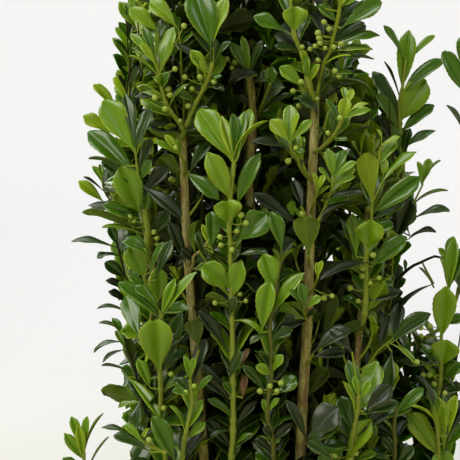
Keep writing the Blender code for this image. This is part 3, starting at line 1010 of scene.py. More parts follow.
def growLeader(name, stem):
    rng = random.Random(f"{plantSeed}_{name}_top")
    start = stemPoint(stem, stem["tip"])
    way = stemWay(stem, stem["tip"])
    width = stemRadius(stem, stem["tip"])
    lean = bearingVector(stem["bearing"]) * leaderRule["lean"]
    if name in goesOn:
        start, way = pointAlong(chosenLines[goesOn[name]], 1.0)
        way = way * 0.3 - toCamera
        width = leaderRule["goesOnRadius"]
    rise = stem["top"] - leafRule["length"] * leaderRule["below"] - start.z
    line = curvedLine(start, way, (up + lean).normalized(), rise, 12)
    seen = [i for i, point in enumerate(line) if not inPlant(point)]
    line = line[:max(3, seen[0])] if seen else line
    rise = lineLength(line)
    shoots.append((line, taperedRadii(line, width, shootRule["tipRadius"] * 1.2), "wood"))
    clothe(line, stem, rng, first=0.05, vigour=0.6)
    turn = rng.uniform(0, 2 * math.pi)
    share, last = leaderRule["sides"]
    while share < last:
        root, axis = pointAlong(line, share)
        turn += goldenAngle
        side = tilted(axis, turn, math.pi / 2)
        reach = 1.0 - leaderRule["shorter"] * share
        lengths = [length * reach for length in leaderRule["sideLengths"]]
        growSideShoot(stem, root, axis, side, 0.001, rng, lengths)
        share += shootRule["spacing"] * rng.uniform(0.8, 1.2) / rise


besideRule = {
    "levels": 3,
    "start": 0.004,
    "gap": 0.020,             # between one such shoot's end and the next one's start
    "leavingRise": 0.020,
    "away": (0.004, 0.0104),  # from the stem's middle at its foot, and how much more above
    "radii": (0.0014, 0.0008),
    "sideFrom": 0.013,
    "sideSpacing": 0.015,
    "sideLengths": (0.018, 0.034),
}


def growBeside(name, stem):
    low = firstHeight(stem)
    step = (stem["tip"] - low) / besideRule["levels"]
    for level in range(besideRule["levels"]):
        rng = random.Random(f"{plantSeed}_{name}_{level}")
        base = low + step * level + besideRule["start"]
        high = base + step - besideRule["gap"]
        side = bearingVector(stem["bearing"] + rng.uniform(-60, 60))
        heights = [base + (high - base) * i / 9 for i in range(10)]
        line = [stemPoint(stem, base) + side * stemRadius(stem, base) * 0.4]
        for z in heights[1:]:
            share = min(1.0, (z - base) / besideRule["leavingRise"])
            least, more = besideRule["away"]
            line.append(stemPoint(stem, z) + side * (least + more * share))
        if not all(clear(point) for point in line[2:]):
            continue
        shoots.append((line, taperedRadii(line, *besideRule["radii"]), "green"))
        clothe(line, stem, rng, first=0.10, vigour=0.5)
        length = lineLength(line)
        turn = rng.uniform(0, 2 * math.pi)
        share = besideRule["sideFrom"] / length
        while share < 0.95:
            root, axis = pointAlong(line, share)
            turn += goldenAngle
            side = tilted(axis, turn, math.pi / 2)
            growSideShoot(stem, root, axis, side, 0.001, rng, besideRule["sideLengths"])
            share += besideRule["sideSpacing"] * rng.uniform(0.8, 1.2) / length


# Chosen shoots: those that the picture shows in front, each with its own leaves and berries.
# Every place is a column and a row of the picture. A shoot starts on its stem, at the row named foot.

chosenShoots = {}


# The tip, base and width of a leaf are in pixels. Its tip stands nearer than its base by near
# millimetres, and its face turns away from the camera by turn degrees.

def blade(tip, base, tint, wide, near, turn, **changes):
    return {"tip": tip, "base": base, "tint": tint, "wide": wide, "near": near, "turn": turn, **changes}


def choose(name, stem, *leaves, foot, depth, path, thick=(0.0008, 0.0006), berries=(), **changes):
    chosenShoots[name] = {"stem": stem, "foot": foot, "depth": depth, "thick": thick, "path": path,
                          "leaves": leaves, "berries": berries, **changes}


choose(
    "fork left", "front_left",
    blade((155, 33), (155, 64), "young", 6, 5, 50),
    blade((143, 27), (154, 62), "full", 12, -2, 30),
    blade((174, 27), (158, 71), "young", 17, -2, 28, curl=0.2, fold=0.2),
    blade((140, 43), (157, 67), "tip", 11, 4, 30),
    blade((130, 34), (152, 56), "young", 11, -3, 25),
    blade((135, 47), (157, 60), "full", 12, -2, 20),
    blade((128, 56), (158, 78), "young", 11, 1, 80, curl=0.7),
    blade((153, 78), (161, 90), "olive", 12, 7, 50, curl=0.6),
    blade((171, 72), (162, 91), "full", 13, 7, 45, curl=0.5),
    blade((134, 98), (165, 104), "old", 13, 2, 70, curl=0.6),
    blade((189, 84), (168, 108), "young", 8, 4, 60, curl=0.8),
    blade((148, 100), (171, 114), "young", 8, 4, 40),
    foot=138, depth=-0.087, thick=(0.0017, 0.0009),
    path=[(184, 131), (177, 120), (167, 106), (162, 88), (159, 74)],
    berries=[(175, 69), (155, 98), (168, 89), (170, 95), (165, 109), (180, 121), (184, 26)],
)
choose(
    "fork back", "front_left",
    blade((150, 2), (179, 29), "olive", 20, -2, 22, curl=0.5),
    blade((176, 92), (182, 104), "full", 9, 3, 50),
    foot=126, depth=-0.072, path=[(184, 100), (182, 78), (181, 55), (179, 30)],
)
choose(
    "fork far", "front_left",
    blade((129, 8), (158, 32), "olive", 18, -1, 15),
    foot=118, depth=-0.070, path=[(172, 92), (164, 70), (160, 50), (158, 32)],
)
choose(
    "fork right", "front_left",
    blade((194, -7), (211, 50), "full", 36, -6, 8),
    blade((228, -4), (216, 46), "olive", 21, -2, 35, curl=0.25),
    blade((213, 37), (215, 69), "deep", 13, 5, 40),
    blade((231, 42), (216, 69), "deep", 12, 6, 50, curl=0.5),
    blade((190, 50), (205, 74), "olive", 15, 4, 10),
    blade((199, 60), (208, 80), "tip", 8, 7, 45),
    blade((224, 92), (204, 90), "deep", 14, 4, 60, curl=0.6),
    blade((222, 76), (207, 84), "full", 10, 5, 50),
    blade((176, 92), (197, 104), "full", 11, 4, 30),
    blade((176, 45), (205, 72), "old", 13, 0, 50, curl=0.5),
    blade((209, 108), (192, 112), "deep", 11, 3, 65),
    foot=140, depth=-0.089, thick=(0.0017, 0.0009),
    path=[(184, 132), (194, 107), (204, 88), (209, 76), (213, 60), (212, 47)],
    berries=[(185, 77), (200, 77), (214, 82), (192, 89), (188, 106)],
)
choose(
    "fork between", "centre",
    blade((229, 42), (247, 75), "full", 13, 4, 25),
    blade((263, 40), (250, 75), "deep", 12, 4, 40),
    blade((242, 36), (248, 75), "young", 11, -3, 10),
    blade((229, 82), (258, 74), "old", 17, 9, 35, curl=1.0),
    blade((272, 78), (251, 82), "deep", 12, 4, 40),
    blade((238, 96), (251, 108), "old", 13, 4, 30),
    foot=240, depth=-0.050, thick=(0.0031, 0.0023), kind="wood",
    path=[(252, 218), (249, 190), (249, 170), (251, 150), (253, 124), (252, 104), (251, 88), (249, 78)],
    berries=[(227, 59), (235, 62), (232, 68)],
)
choose(
    "centre twig", "centre",
    blade((273, 67), (270, 87), "full", 14, 3, 10),
    blade((262, 70), (268, 92), "deep", 12, 2, 30),
    blade((286, 88), (269, 97), "full", 6, 4, 60, curl=0.6),
    blade((292, 94), (263, 114), "deep", 12, 3, 50),
    foot=130, depth=-0.056, thick=(0.0014, 0.0008), path=[(257, 117), (262, 105), (267, 93), (270, 84)],
)
choose(
    "front left top", "front",
    blade((294, 5), (295, 37), "olive", 28, 6, 5, curl=0.1, notch=0.05, fold=0.5, blunt=0.45),
    blade((253, 17), (289, 34), "full", 17, 2, 25, curl=0.4),
    blade((278, -8), (293, 26), "full", 16, -4, 30),
    blade((301, 50), (303, 66), "tip", 10, 8, 30),
    blade((308, 56), (307, 78), "young", 11, 8, 30, curl=0.5),
    blade((320, 64), (310, 84), "tip", 10, 7, 30, curl=0.5),
    blade((296, 62), (306, 80), "full", 12, 6, 120),
    blade((279, 67), (304, 88), "young", 16, 4, 15, curl=0.5),
    blade((274, 47), (300, 54), "deep", 14, 2, 50),
    blade((293, 100), (313, 98), "full", 10, 4, 60),
    blade((297, 98), (318, 114), "deep", 16, 13, 35, curl=0.8),
    foot=108, depth=-0.094, thick=(0.0020, 0.0010),
    path=[(314, 100), (311, 92), (307, 76), (303, 55), (298, 45), (294, 34), (292, 14), (289, -14)],
    berries=[(302, 47), (310, 49), (293, 91), (301, 82), (299, 106), (317, 99)],
)
choose(
    "front right top", "front",
    blade((383, 1), (341, 28), "full", 21, 5, 20, curl=0.35),
    blade((380, 36), (337, 46), "full", 14, 2, 45, curl=0.4),
    blade((373, 50), (333, 54), "young", 12, 4, 50),
    blade((376, 60), (330, 60), "deep", 10, 1, 75, curl=0.4),
    blade((371, 92), (321, 88), "deep", 13, 4, 80, curl=1.2),
    blade((352, 56), (327, 68), "tip", 8, 8, 70, curl=0.9),
    blade((318, 5), (337, 24), "full", 14, 2, 20),
    blade((362, -10), (340, 8), "young", 16, 3, 25),
    blade((322, -14), (341, 2), "full", 14, 2, 15),
    blade((324, -22), (325, 9), "full", 18, 0, 30),
    blade((350, -24), (339, 8), "tip", 15, 5, 15),
    blade((355, 74), (323, 78), "full", 12, 3, 60),
    blade((314, 60), (319, 84), "dry", 8, 5, 50),
    blade((331, 68), (319, 88), "deep", 12, 5, 45),
    blade((366, 24), (336, 44), "deep", 18, -10, 15),
    blade((363, 4), (341, 24), "deep", 16, -8, 15),
    blade((314, 12), (324, 36), "old", 15, -10, 10),
    foot=106, depth=-0.098, thick=(0.0011, 0.0013),
    path=[(317, 98), (319, 84), (324, 63), (330, 52), (333, 38), (338, 19), (340, 5), (344, -25)],
    berries=[(315, 46), (320, 43), (319, 38), (318, 33), (324, 22), (329, 29), (341, 44), (334, 47),
                (325, 48), (318, 60), (335, 71), (339, 76)],
)
choose(
    "front right twig", "front",
    blade((325, 99), (339, 126), "full", 10, -2, 45, curl=0.4),
    blade((343, 87), (345, 105), "young", 9, -2, 20),
    blade((353, 89), (347, 106), "tip", 9, -1, 25),
    blade((347, 97), (342, 123), "tip", 14, 3, 8, curl=0.2),
    blade((369, 104), (345, 118), "tip", 8, 3, 60, curl=0.9),
    blade((371, 110), (346, 120), "young", 11, 6, 35, curl=0.4),
    blade((331, 117), (334, 136), "full", 7, 5, 30),
    blade((316, 127), (328, 143), "deep", 6, 6, 50, curl=0.5),
    blade((372, 127), (337, 139), "old", 11, 4, 82),
    blade((348, 140), (332, 142), "full", 7, 6, 40),
    foot=152, depth=-0.098, thick=(0.0015, 0.0008),
    path=[(319, 150), (325, 145), (333, 136), (338, 128), (343, 119)],
    berries=[(328, 133), (340, 118)],
)
choose(
    "front left twig", "front",
    blade((270, 120), (290, 142), "tip", 15, 4, 15),
    blade((290, 104), (291, 141), "young", 16, -4, 5, curl=0.25),
    blade((299, 113), (292, 138), "tip", 10, 3, 50),
    blade((313, 120), (292, 142), "young", 11, 4, 25, curl=0.4),
    blade((252, 143), (290, 151), "old", 17, 5, 55, curl=0.4),
    blade((305, 152), (293, 150), "full", 6, 5, 30, curl=0.8),
    foot=180, depth=-0.101, thick=(0.0014, 0.0008),
    path=[(305, 174), (300, 166), (297, 157), (292, 151), (290, 143)],
    berries=[(288, 161), (296, 148)],
)
choose(
    "front bud", "front",
    blade((312, 172), (317, 192), "tip", 7, 3, 40),
    blade((325, 175), (318, 190), "tip", 8, 3, 30),
    blade((320, 182), (319, 196), "young", 6, 5, 50),
    blade((330, 186), (319, 198), "young", 6, 4, 50),
    blade((294, 208), (305, 224), "young", 6, 4, 30),
    blade((300, 205), (306, 222), "tip", 5, 6, 40),
    blade((293, 180), (304, 214), "old", 15, -12, 20),
    foot=214, depth=-0.094, thick=(0.0010, 0.0006), path=[(312, 207), (315, 200), (318, 190)],
)
choose(
    "middle", "front_left",
    blade((199, 110), (231, 164), "young", 29, -9, 8, curl=0.2, fold=0.42),
    blade((207, 152), (231, 200), "olive", 23, 9, 10, curl=0.35),
    blade((221, 116), (232, 160), "tip", 15, -5, 25, curl=0.2),
    blade((232, 112), (234, 168), "full", 15, -2, 40, curl=0.2, notch=0.05),
    blade((245, 112), (235, 168), "full", 16, -5, 35, curl=0.2),
    blade((251, 109), (238, 158), "young", 16, -10, 15, curl=0.2),
    blade((268, 121), (236, 176), "tip", 13, 1, 86, curl=1.2),
    blade((261, 153), (236, 207), "full", 19, 2, 25, fold=0.5),
    blade((226, 197), (229, 229), "olive", 31, 8, 5, curl=0.1, notch=0.14, fold=0.5, blunt=0.6),
    blade((267, 214), (236, 243), "full", 29, 5, 8, curl=0.25, fold=0.35),
    blade((268, 254), (236, 256), "deep", 16, 4, 60, curl=0.5),
    blade((201, 265), (230, 293), "young", 27, 6, 12, fold=0.5),
    blade((242, 260), (231, 297), "young", 20, 7, 22, curl=0.2, fold=0.3),
    blade((205, 296), (231, 313), "full", 16, 5, 140, curl=0.5),
    blade((237, 297), (230, 315), "deep", 12, 6, 30),
    blade((241, 251), (230, 265), "deep", 12, 5, 45),
    blade((213, 282), (229, 300), "tip", 8, -4, 60),
    blade((262, 338), (233, 322), "young", 12, 6, 60, curl=1.5),
    blade((243, 351), (230, 377), "deep", 13, 5, 30, curl=0.4),
    blade((222, 382), (232, 396), "full", 9, 5, 40),
    blade((207, 400), (234, 417), "full", 14, 5, 55, curl=0.8),
    blade((259, 401), (236, 426), "old", 15, 3, 50),
    blade((246, 374), (243, 398), "dry", 10, -4, 30),
    blade((249, 348), (242, 366), "dry", 8, -3, 40),
    blade((210, 440), (231, 432), "deep", 15, 4, 70, curl=0.8),
    blade((241, 447), (229, 456), "deep", 11, 6, 55, curl=0.6),
    blade((203, 378), (229, 399), "old", 19, 1, 40),
    blade((253, 434), (236, 448), "full", 9, 5, 70, curl=0.7),
    blade((197, 311), (229, 352), "old", 18, 2, 40),
    blade((197, 366), (229, 390), "old", 14, 3, 60),
    blade((206, 420), (231, 452), "old", 17, 0, 35),
    foot=530, depth=-0.101, thick=(0.0022, 0.0011),
    path=[(222, 500), (231, 462), (233, 430), (233, 370), (232, 310), (231, 262), (230, 240), (229, 223),
             (230, 204), (232, 182), (234, 164)],
    berries=[(220, 237), (237, 231), (241, 215), (246, 223), (232, 250), (221, 245), (240, 294),
                (246, 301), (215, 303)],
)
choose(
    "beside left stem", "front_left",
    blade((155, 142), (179, 156), "young", 9, 5, 35),
    blade((164, 135), (180, 155), "tip", 10, 3, 30),
    blade((176, 138), (181, 154), "young", 7, 4, 50),
    blade((160, 158), (184, 177), "full", 21, 9, 165, curl=-0.4),
    blade((219, 200), (186, 172), "full", 17, 7, 20, curl=0.4),
    blade((212, 140), (190, 172), "deep", 17, -3, 30),
    foot=176, depth=-0.082, thick=(0.0010, 0.0006), path=[(185, 170), (184, 162), (180, 155)],
    berries=[(176, 148)],
)
choose(
    "left stem low", "front_left",
    blade((196, 222), (193, 252), "full", 13, 8, 150, curl=0.5),
    blade((201, 224), (213, 253), "tip", 10, 2, 30, curl=0.2),
    blade((211, 211), (211, 248), "full", 19, -2, 25),
    blade((196, 232), (207, 262), "deep", 14, 4, 30),
    blade((180, 250), (193, 262), "old", 13, 4, 40),
    blade((168, 221), (186, 265), "old", 15, 6, 30, curl=0.4),
    foot=272, depth=-0.087, thick=(0.0012, 0.0006), kind="wood",
    path=[(193, 265), (194, 256), (203, 249), (208, 240)],
)
choose(
    "left top", "left",
    blade((104, 100), (134, 156), "young", 29, -4, 6, curl=0.15),
    blade((88, 132), (137, 181), "full", 28, -12, 28, curl=0.2, fold=0.45),
    blade((87, 159), (125, 166), "deep", 12, 0, 84),
    blade((100, 161), (135, 188), "deep", 16, 2, 25),
    blade((119, 165), (140, 213), "young", 31, 11, 8),
    blade((102, 205), (139, 222), "full", 18, 5, 35, curl=0.4),
    blade((125, 94), (135, 145), "deep", 15, -8, 20),
    blade((152, 108), (137, 150), "deep", 16, -6, 25),
    blade((151, 138), (138, 180), "deep", 13, -2, 20),
    blade((152, 160), (139, 186), "full", 13, 5, 25),
    blade((182, 219), (139, 185), "old", 19, 6, 40, curl=0.4),
    blade((144, 188), (146, 215), "full", 14, 6, 20),
    blade((170, 166), (146, 196), "old", 18, 0, 25),
    blade((81, 213), (137, 228), "full", 16, 3, 130),
    blade((101, 228), (143, 234), "young", 12, 5, 78, curl=0.5),
    blade((88, 206), (140, 216), "old", 18, -3, 60, curl=0.4),
    blade((171, 211), (148, 240), "deep", 18, 2, 20),
    blade((165, 236), (172, 257), "dry", 13, 0, 30),
    blade((146, 132), (136, 160), "tip", 5, 1, 80),
    foot=254, depth=-0.087, thick=(0.0026, 0.0004),
    path=[(148, 246), (148, 230), (144, 206), (139, 184), (137, 166), (135, 148)],
    berries=[(130, 217), (134, 221), (154, 232), (157, 238), (157, 244)],
)
choose(
    "left middle", "left",
    blade((122, 243), (150, 261), "full", 19, 10, 55, curl=1.4),
    blade((130, 245), (145, 281), "young", 26, 9, 10),
    blade((164, 242), (150, 272), "full", 10, 2, 45),
    blade((157, 266), (158, 302), "young", 21, 5, 15, fold=0.55),
    blade((172, 240), (156, 280), "deep", 16, -5, 30),
    blade((128, 276), (150, 300), "full", 14, 2, 50, curl=0.5),
    foot=345, depth=-0.089, thick=(0.0013, 0.0008),
    path=[(150, 330), (152, 312), (151, 300), (147, 288), (144, 276)],
)
choose(
    "left low", "left",
    blade((116, 283), (159, 320), "full", 22, 5, 48),
    blade((133, 286), (159, 310), "full", 15, 1, 50, curl=0.4),
    blade((176, 278), (161, 314), "young", 12, 2, 15, fold=0.6),
    blade((197, 272), (165, 320), "young", 13, 4, 45, curl=0.5),
    blade((126, 296), (142, 344), "full", 19, -14, 4, fold=0.12),
    blade((153, 314), (160, 380), "olive", 37, 24, 5, curl=0.2, notch=0.11, fold=0.5, blunt=0.45),
    blade((183, 311), (164, 378), "deep", 19, 10, 28, curl=0.2, fold=0.3),
    blade((137, 359), (150, 388), "young", 14, 2, 30),
    blade((170, 404), (161, 425), "young", 9, 5, 60, curl=0.8),
    blade((187, 330), (166, 350), "deep", 13, -4, 30),
    foot=440, depth=-0.101, thick=(0.0018, 0.0010),
    path=[(158, 425), (161, 400), (160, 372), (161, 340), (161, 316)],
    berries=[(171, 374), (164, 408)],
)
choose(
    "left edge", "left",
    blade((94, 353), (125, 342), "deep", 12, 2, 70, curl=1.1),
    blade((103, 363), (127, 350), "deep", 11, -6, 65, curl=0.7),
    blade((100, 366), (132, 380), "deep", 9, 3, 84, curl=0.8),
    blade((101, 390), (142, 408), "full", 25, 4, 150, curl=0.4, wave=0.12),
    blade((160, 417), (128, 377), "young", 15, 18, 40, curl=0.5),
    blade((118, 408), (141, 402), "young", 12, -2, 60, curl=0.7),
    blade((136, 428), (145, 398), "deep", 17, 4, 35, curl=0.5),
    blade((98, 323), (127, 332), "deep", 10, -2, 78, curl=0.6),
    blade((112, 318), (128, 338), "full", 10, -2, 30),
    blade((124, 338), (137, 374), "deep", 17, 5, 160),
    blade((115, 330), (130, 352), "young", 9, -4, 30),
    foot=430, depth=-0.056, thick=(0.0009, 0.0005), kind="brown",
    path=[(146, 412), (139, 388), (132, 362), (126, 346), (124, 330)],
)
choose(
    "left edge high", "back_left",
    blade((71, 242), (117, 250), "deep", 16, 2, 66, curl=0.5),
    blade((97, 259), (122, 257), "deep", 13, 4, 60, curl=0.9),
    blade((104, 262), (125, 280), "deep", 16, 2, 25),
    blade((105, 281), (132, 293), "old", 14, 4, 50),
    blade((108, 292), (130, 304), "old", 14, 6, 45),
    blade((97, 309), (128, 314), "deep", 11, 2, 80, curl=1.0),
    blade((109, 226), (118, 246), "deep", 12, 0, 20),
    foot=340, depth=-0.020, thick=(0.0009, 0.0006), kind="brown",
    path=[(144, 318), (134, 294), (126, 276), (120, 256), (116, 240)],
)
choose(
    "left side", "back_left",
    blade((78, 181), (105, 203), "tip", 14, 3, 20),
    blade((83, 177), (108, 191), "old", 10, 5, 80),
    blade((92, 166), (103, 184), "young", 9, 0, 40),
    blade((99, 164), (103, 182), "young", 8, -2, 40),
    blade((88, 213), (116, 206), "deep", 14, 2, 50),
    foot=250, depth=-0.030, thick=(0.0010, 0.0006),
    path=[(144, 232), (128, 214), (112, 202), (104, 190), (102, 176)],
)
choose(
    "left side high", "back_left",
    blade((83, 116), (113, 134), "tip", 17, 2, 20),
    blade((93, 85), (118, 108), "tip", 15, 2, 25),
    blade((104, 98), (121, 122), "young", 12, -2, 30),
    blade((117, 75), (123, 92), "old", 8, 4, 50),
    blade((112, 38), (129, 66), "young", 13, 2, 30, curl=0.6),
    blade((113, 40), (128, 58), "deep", 10, 6, 60),
    blade((119, 2), (138, 30), "young", 17, 2, 15),
    blade((118, 22), (132, 44), "full", 12, 2, 40),
    blade((134, -6), (132, 22), "young", 14, 0, 20),
    blade((140, 66), (127, 88), "deep", 14, 4, 30),
    foot=160, depth=-0.016, thick=(0.0008, 0.0004), kind="brown",
    path=[(142, 148), (134, 132), (127, 112), (127, 88), (130, 66), (132, 44), (134, 16)],
)
choose(
    "low corner", "left",
    blade((71, 416), (84, 455), "young", 12, -2, 20),
    blade((64, 433), (84, 459), "young", 13, 4, 20),
    blade((88, 415), (85, 455), "young", 11, 0, 30, curl=0.1),
    blade((78, 424), (85, 460), "tip", 12, 6, 12, curl=0.2),
    blade((104, 413), (87, 456), "full", 9, 3, 84, curl=0.6),
    blade((110, 436), (90, 476), "full", 9, 4, 84, curl=0.5),
    blade((62, 458), (86, 476), "full", 13, 3, 30, curl=0.4),
    foot=548, depth=-0.050, thick=(0.0013, 0.0008), path=[(120, 515), (92, 490), (85, 468), (84, 452)],
)
choose(
    "low left", "left",
    blade((150, 416), (176, 464), "full", 24, 6, 35),
    blade((154, 438), (165, 474), "full", 20, 3, 15),
    blade((174, 446), (170, 480), "old", 17, 5, 20),
    blade((112, 436), (150, 452), "deep", 15, 2, 50, curl=0.5),
    blade((100, 428), (140, 440), "deep", 12, -4, 75, curl=0.6),
    blade((124, 424), (146, 446), "young", 10, -2, 45),
    blade((128, 462), (160, 470), "deep", 15, 3, 50),
    foot=560, depth=-0.094, thick=(0.0018, 0.0010), path=[(160, 520), (166, 492), (166, 470), (164, 452)],
    berries=[(149, 440)],
)
choose(
    "low left middle", "front_left",
    blade((203, 400), (187, 431), "young", 15, 4, 25, curl=0.4, fold=0.5),
    blade((169, 406), (185, 436), "young", 11, 3, 70, curl=0.9),
    blade((206, 423), (186, 440), "young", 12, 5, 35),
    blade((184, 355), (189, 380), "young", 8, 2, 30),
    blade((196, 357), (191, 380), "young", 9, 3, 30),
    blade((213, 376), (197, 392), "full", 9, 4, 40, curl=0.5),
    blade((172, 392), (190, 396), "full", 13, 4, 50),
    blade((176, 378), (190, 392), "deep", 12, -2, 30),
    blade((191, 320), (199, 350), "deep", 20, 5, 170),
    blade((207, 338), (193, 386), "old", 17, -1, 30),
    foot=545, depth=-0.096, thick=(0.0018, 0.0009),
    path=[(186, 505), (181, 470), (184, 444), (187, 428), (192, 404), (190, 380)],
    berries=[(194, 386), (186, 392)],
)
choose(
    "right of middle", "front",
    blade((270, 212), (282, 252), "full", 19, 2, 25, curl=0.4),
    blade((272, 249), (282, 264), "full", 8, 5, 110, curl=0.4),
    blade((294, 250), (283, 264), "full", 10, 5, 110, curl=0.5),
    blade((263, 254), (273, 296), "young", 25, 2, 15),
    blade((271, 280), (262, 333), "young", 23, 7, 20, curl=0.4),
    blade((305, 273), (272, 318), "young", 17, 4, 45, curl=0.5),
    blade((255, 366), (270, 373), "olive", 12, 6, 25, curl=0.5),
    blade((284, 355), (268, 373), "young", 12, 5, 45, curl=0.4),
    blade((242, 366), (264, 390), "deep", 14, 3, 40),
    blade((296, 376), (278, 394), "full", 18, -2, 28, curl=0.2, fold=0.15),
    blade((254, 440), (272, 452), "old", 14, 3, 50),
    blade((292, 424), (272, 440), "old", 15, 2, 40),
    blade((250, 345), (270, 336), "deep", 12, 3, 60, curl=0.8),
    blade((262, 399), (269, 416), "young", 9, 4, 30),
    blade((280, 398), (270, 414), "young", 8, 4, 45),
    blade((262, 428), (272, 442), "old", 12, 6, 50, curl=0.7),
    blade((281, 439), (272, 446), "full", 9, 4, 60),
    blade((292, 330), (272, 340), "deep", 15, 0, 30),
    foot=520, depth=-0.098, thick=(0.0016, 0.0009), kind="dull",
    path=[(290, 495), (275, 465), (273, 440), (268, 420), (268, 402), (271, 380), (271, 350), (270, 326),
             (274, 300), (279, 270), (282, 252)],
    berries=[(270, 386), (281, 383), (260, 391), (277, 391)],
)
choose(
    "front face", "front",
    blade((305, 216), (309, 255), "full", 31, 12, 172, curl=-0.3, notch=0.05, blunt=0.25),
    foot=268, depth=-0.094, path=[(309, 263), (309, 256)],
)
choose(
    "front bud right", "front",
    blade((316, 262), (318, 279), "tip", 7, 2, 30),
    blade((323, 260), (319, 280), "tip", 7, 3, 30),
    foot=296, depth=-0.094, thick=(0.0010, 0.0006), path=[(312, 291), (315, 284), (318, 277)],
    berries=[(332, 296), (324, 298)],
)
choose(
    "front low", "front",
    blade((300, 283), (304, 307), "full", 13, 3, 15),
    blade((322, 297), (305, 308), "young", 10, 4, 25, curl=0.4),
    blade((288, 289), (303, 305), "full", 9, 4, 40),
    blade((286, 303), (304, 314), "full", 12, 6, 120, curl=0.5),
    blade((318, 310), (306, 318), "deep", 9, 5, 50),
    foot=322, depth=-0.096, thick=(0.0009, 0.0006), path=[(305, 316), (304, 311), (304, 307)],
)
choose(
    "front low right", "front",
    blade((352, 331), (313, 353), "old", 24, 3, 50, curl=0.7),
    blade((346, 353), (313, 358), "old", 15, 2, 40),
    foot=366, depth=-0.092, thick=(0.0009, 0.0006), path=[(310, 360), (313, 354)],
)
choose(
    "front middle", "front",
    blade((327, 148), (333, 180), "young", 12, -1, 15),
    blade((346, 150), (334, 176), "full", 13, -4, 30, curl=0.5),
    blade((357, 162), (335, 177), "young", 10, 3, 40, curl=0.4),
    blade((356, 177), (334, 187), "young", 10, 4, 35),
    blade((364, 193), (321, 200), "old", 15, 6, 60),
    blade((318, 168), (331, 186), "young", 8, 2, 40),
    blade((252, 193), (297, 225), "old", 15, -2, 30, curl=0.4),
    foot=240, depth=-0.094, thick=(0.0012, 0.0007),
    path=[(314, 228), (322, 214), (328, 200), (332, 188), (334, 178)],
    berries=[(302, 214)],
)
choose(
    "right top", "front_right",
    blade((371, 218), (367, 253), "olive", 31, 14, 5, curl=0.1, notch=0.04, fold=0.45, blunt=0.35),
    blade((366, 151), (371, 205), "young", 24, 6, 176, curl=-0.2),
    blade((421, 177), (374, 214), "full", 22, 3, 8),
    blade((417, 152), (382, 182), "young", 16, 0, 60, curl=0.4),
    blade((397, 141), (377, 167), "young", 15, -6, 30),
    blade((376, 129), (382, 143), "tip", 5, 0, 60, curl=0.8),
    blade((400, 137), (380, 147), "tip", 8, 2, 50, curl=0.4),
    blade((351, 215), (356, 257), "young", 17, -3, 20),
    blade((338, 217), (354, 262), "deep", 14, 2, 60, curl=0.4),
    blade((407, 237), (373, 266), "full", 22, 4, 25, fold=0.5),
    blade((321, 280), (373, 263), "old", 19, 14, 62, curl=0.7),
    blade((386, 283), (367, 315), "olive", 23, 9, 172, curl=-0.2),
    blade((321, 219), (369, 204), "old", 15, 7, 78, curl=0.9),
    blade((338, 298), (358, 331), "deep", 10, 5, 84, curl=0.2),
    blade((392, 222), (371, 236), "full", 17, -4, 20),
    blade((404, 198), (374, 222), "deep", 18, -5, 20),
    blade((400, 292), (370, 300), "old", 18, -2, 40),
    blade((344, 286), (364, 300), "old", 14, 1, 50),
    foot=330, depth=-0.082, thick=(0.0020, 0.0009),
    path=[(364, 318), (366, 290), (366, 262), (368, 246), (371, 222), (372, 204)],
    berries=[(379, 278), (370, 283), (358, 301), (362, 268), (362, 276), (350, 288), (373, 255)],
)
choose(
    "right leader", "right",
    blade((409, 30), (400, 90), "young", 23, 2, 8, curl=0.2),
    blade((383, 25), (402, 54), "full", 11, -2, 30),
    blade((436, 35), (405, 62), "young", 11, -3, 40),
    blade((445, 60), (402, 98), "full", 19, 1, 35, curl=0.8),
    blade((425, 78), (400, 123), "olive", 30, 6, 4, fold=0.25),
    blade((435, 105), (401, 133), "full", 17, 3, 30),
    blade((383, 60), (399, 101), "deep", 11, 2, 84),
    blade((372, 71), (398, 120), "deep", 20, -4, 20),
    blade((375, 94), (399, 132), "full", 19, 4, 30),
    blade((436, 131), (402, 152), "full", 15, 2, 50),
    blade((390, 124), (401, 160), "full", 15, 6, 30),
    blade((411, 128), (401, 162), "deep", 14, 8, 40),
    blade((380, 120), (401, 156), "old", 18, 3, 30),
    foot=240, depth=-0.010, thick=(0.0018, 0.0009),
    path=[(402, 180), (401, 150), (400, 122), (400, 100), (403, 84), (406, 60)],
)
choose(
    "right side", "right",
    blade((417, 161), (423, 187), "young", 10, 1, 30),
    blade((430, 158), (424, 186), "young", 11, -1, 15),
    blade((442, 160), (425, 187), "full", 8, 2, 70, curl=0.9),
    blade((449, 191), (415, 207), "full", 10, 2, 78, curl=0.9),
    blade((451, 212), (411, 220), "deep", 17, 4, 58, curl=0.7),
    blade((437, 233), (408, 240), "old", 14, 4, 75, curl=1.1),
    blade((411, 197), (394, 238), "old", 26, 9, 10),
    blade((394, 206), (410, 236), "deep", 16, -4, 30),
    foot=330, depth=-0.022, thick=(0.0009, 0.0006),
    path=[(391, 300), (392, 270), (394, 244), (403, 222), (412, 206), (423, 184)],
)
choose(
    "right dark twig", "right",
    blade((398, 312), (434, 284), "old", 13, 4, 70, curl=0.7),
    blade((454, 236), (449, 266), "young", 14, 2, 25),
    blade((418, 267), (434, 288), "full", 6, 6, 70, curl=0.4),
    blade((404, 259), (404, 272), "full", 6, 3, 30),
    blade((438, 248), (446, 264), "young", 9, 2, 30),
    foot=310, depth=-0.012, thick=(0.0014, 0.0007), kind="brown",
    path=[(396, 282), (410, 268), (422, 262), (437, 256), (448, 262)],
)
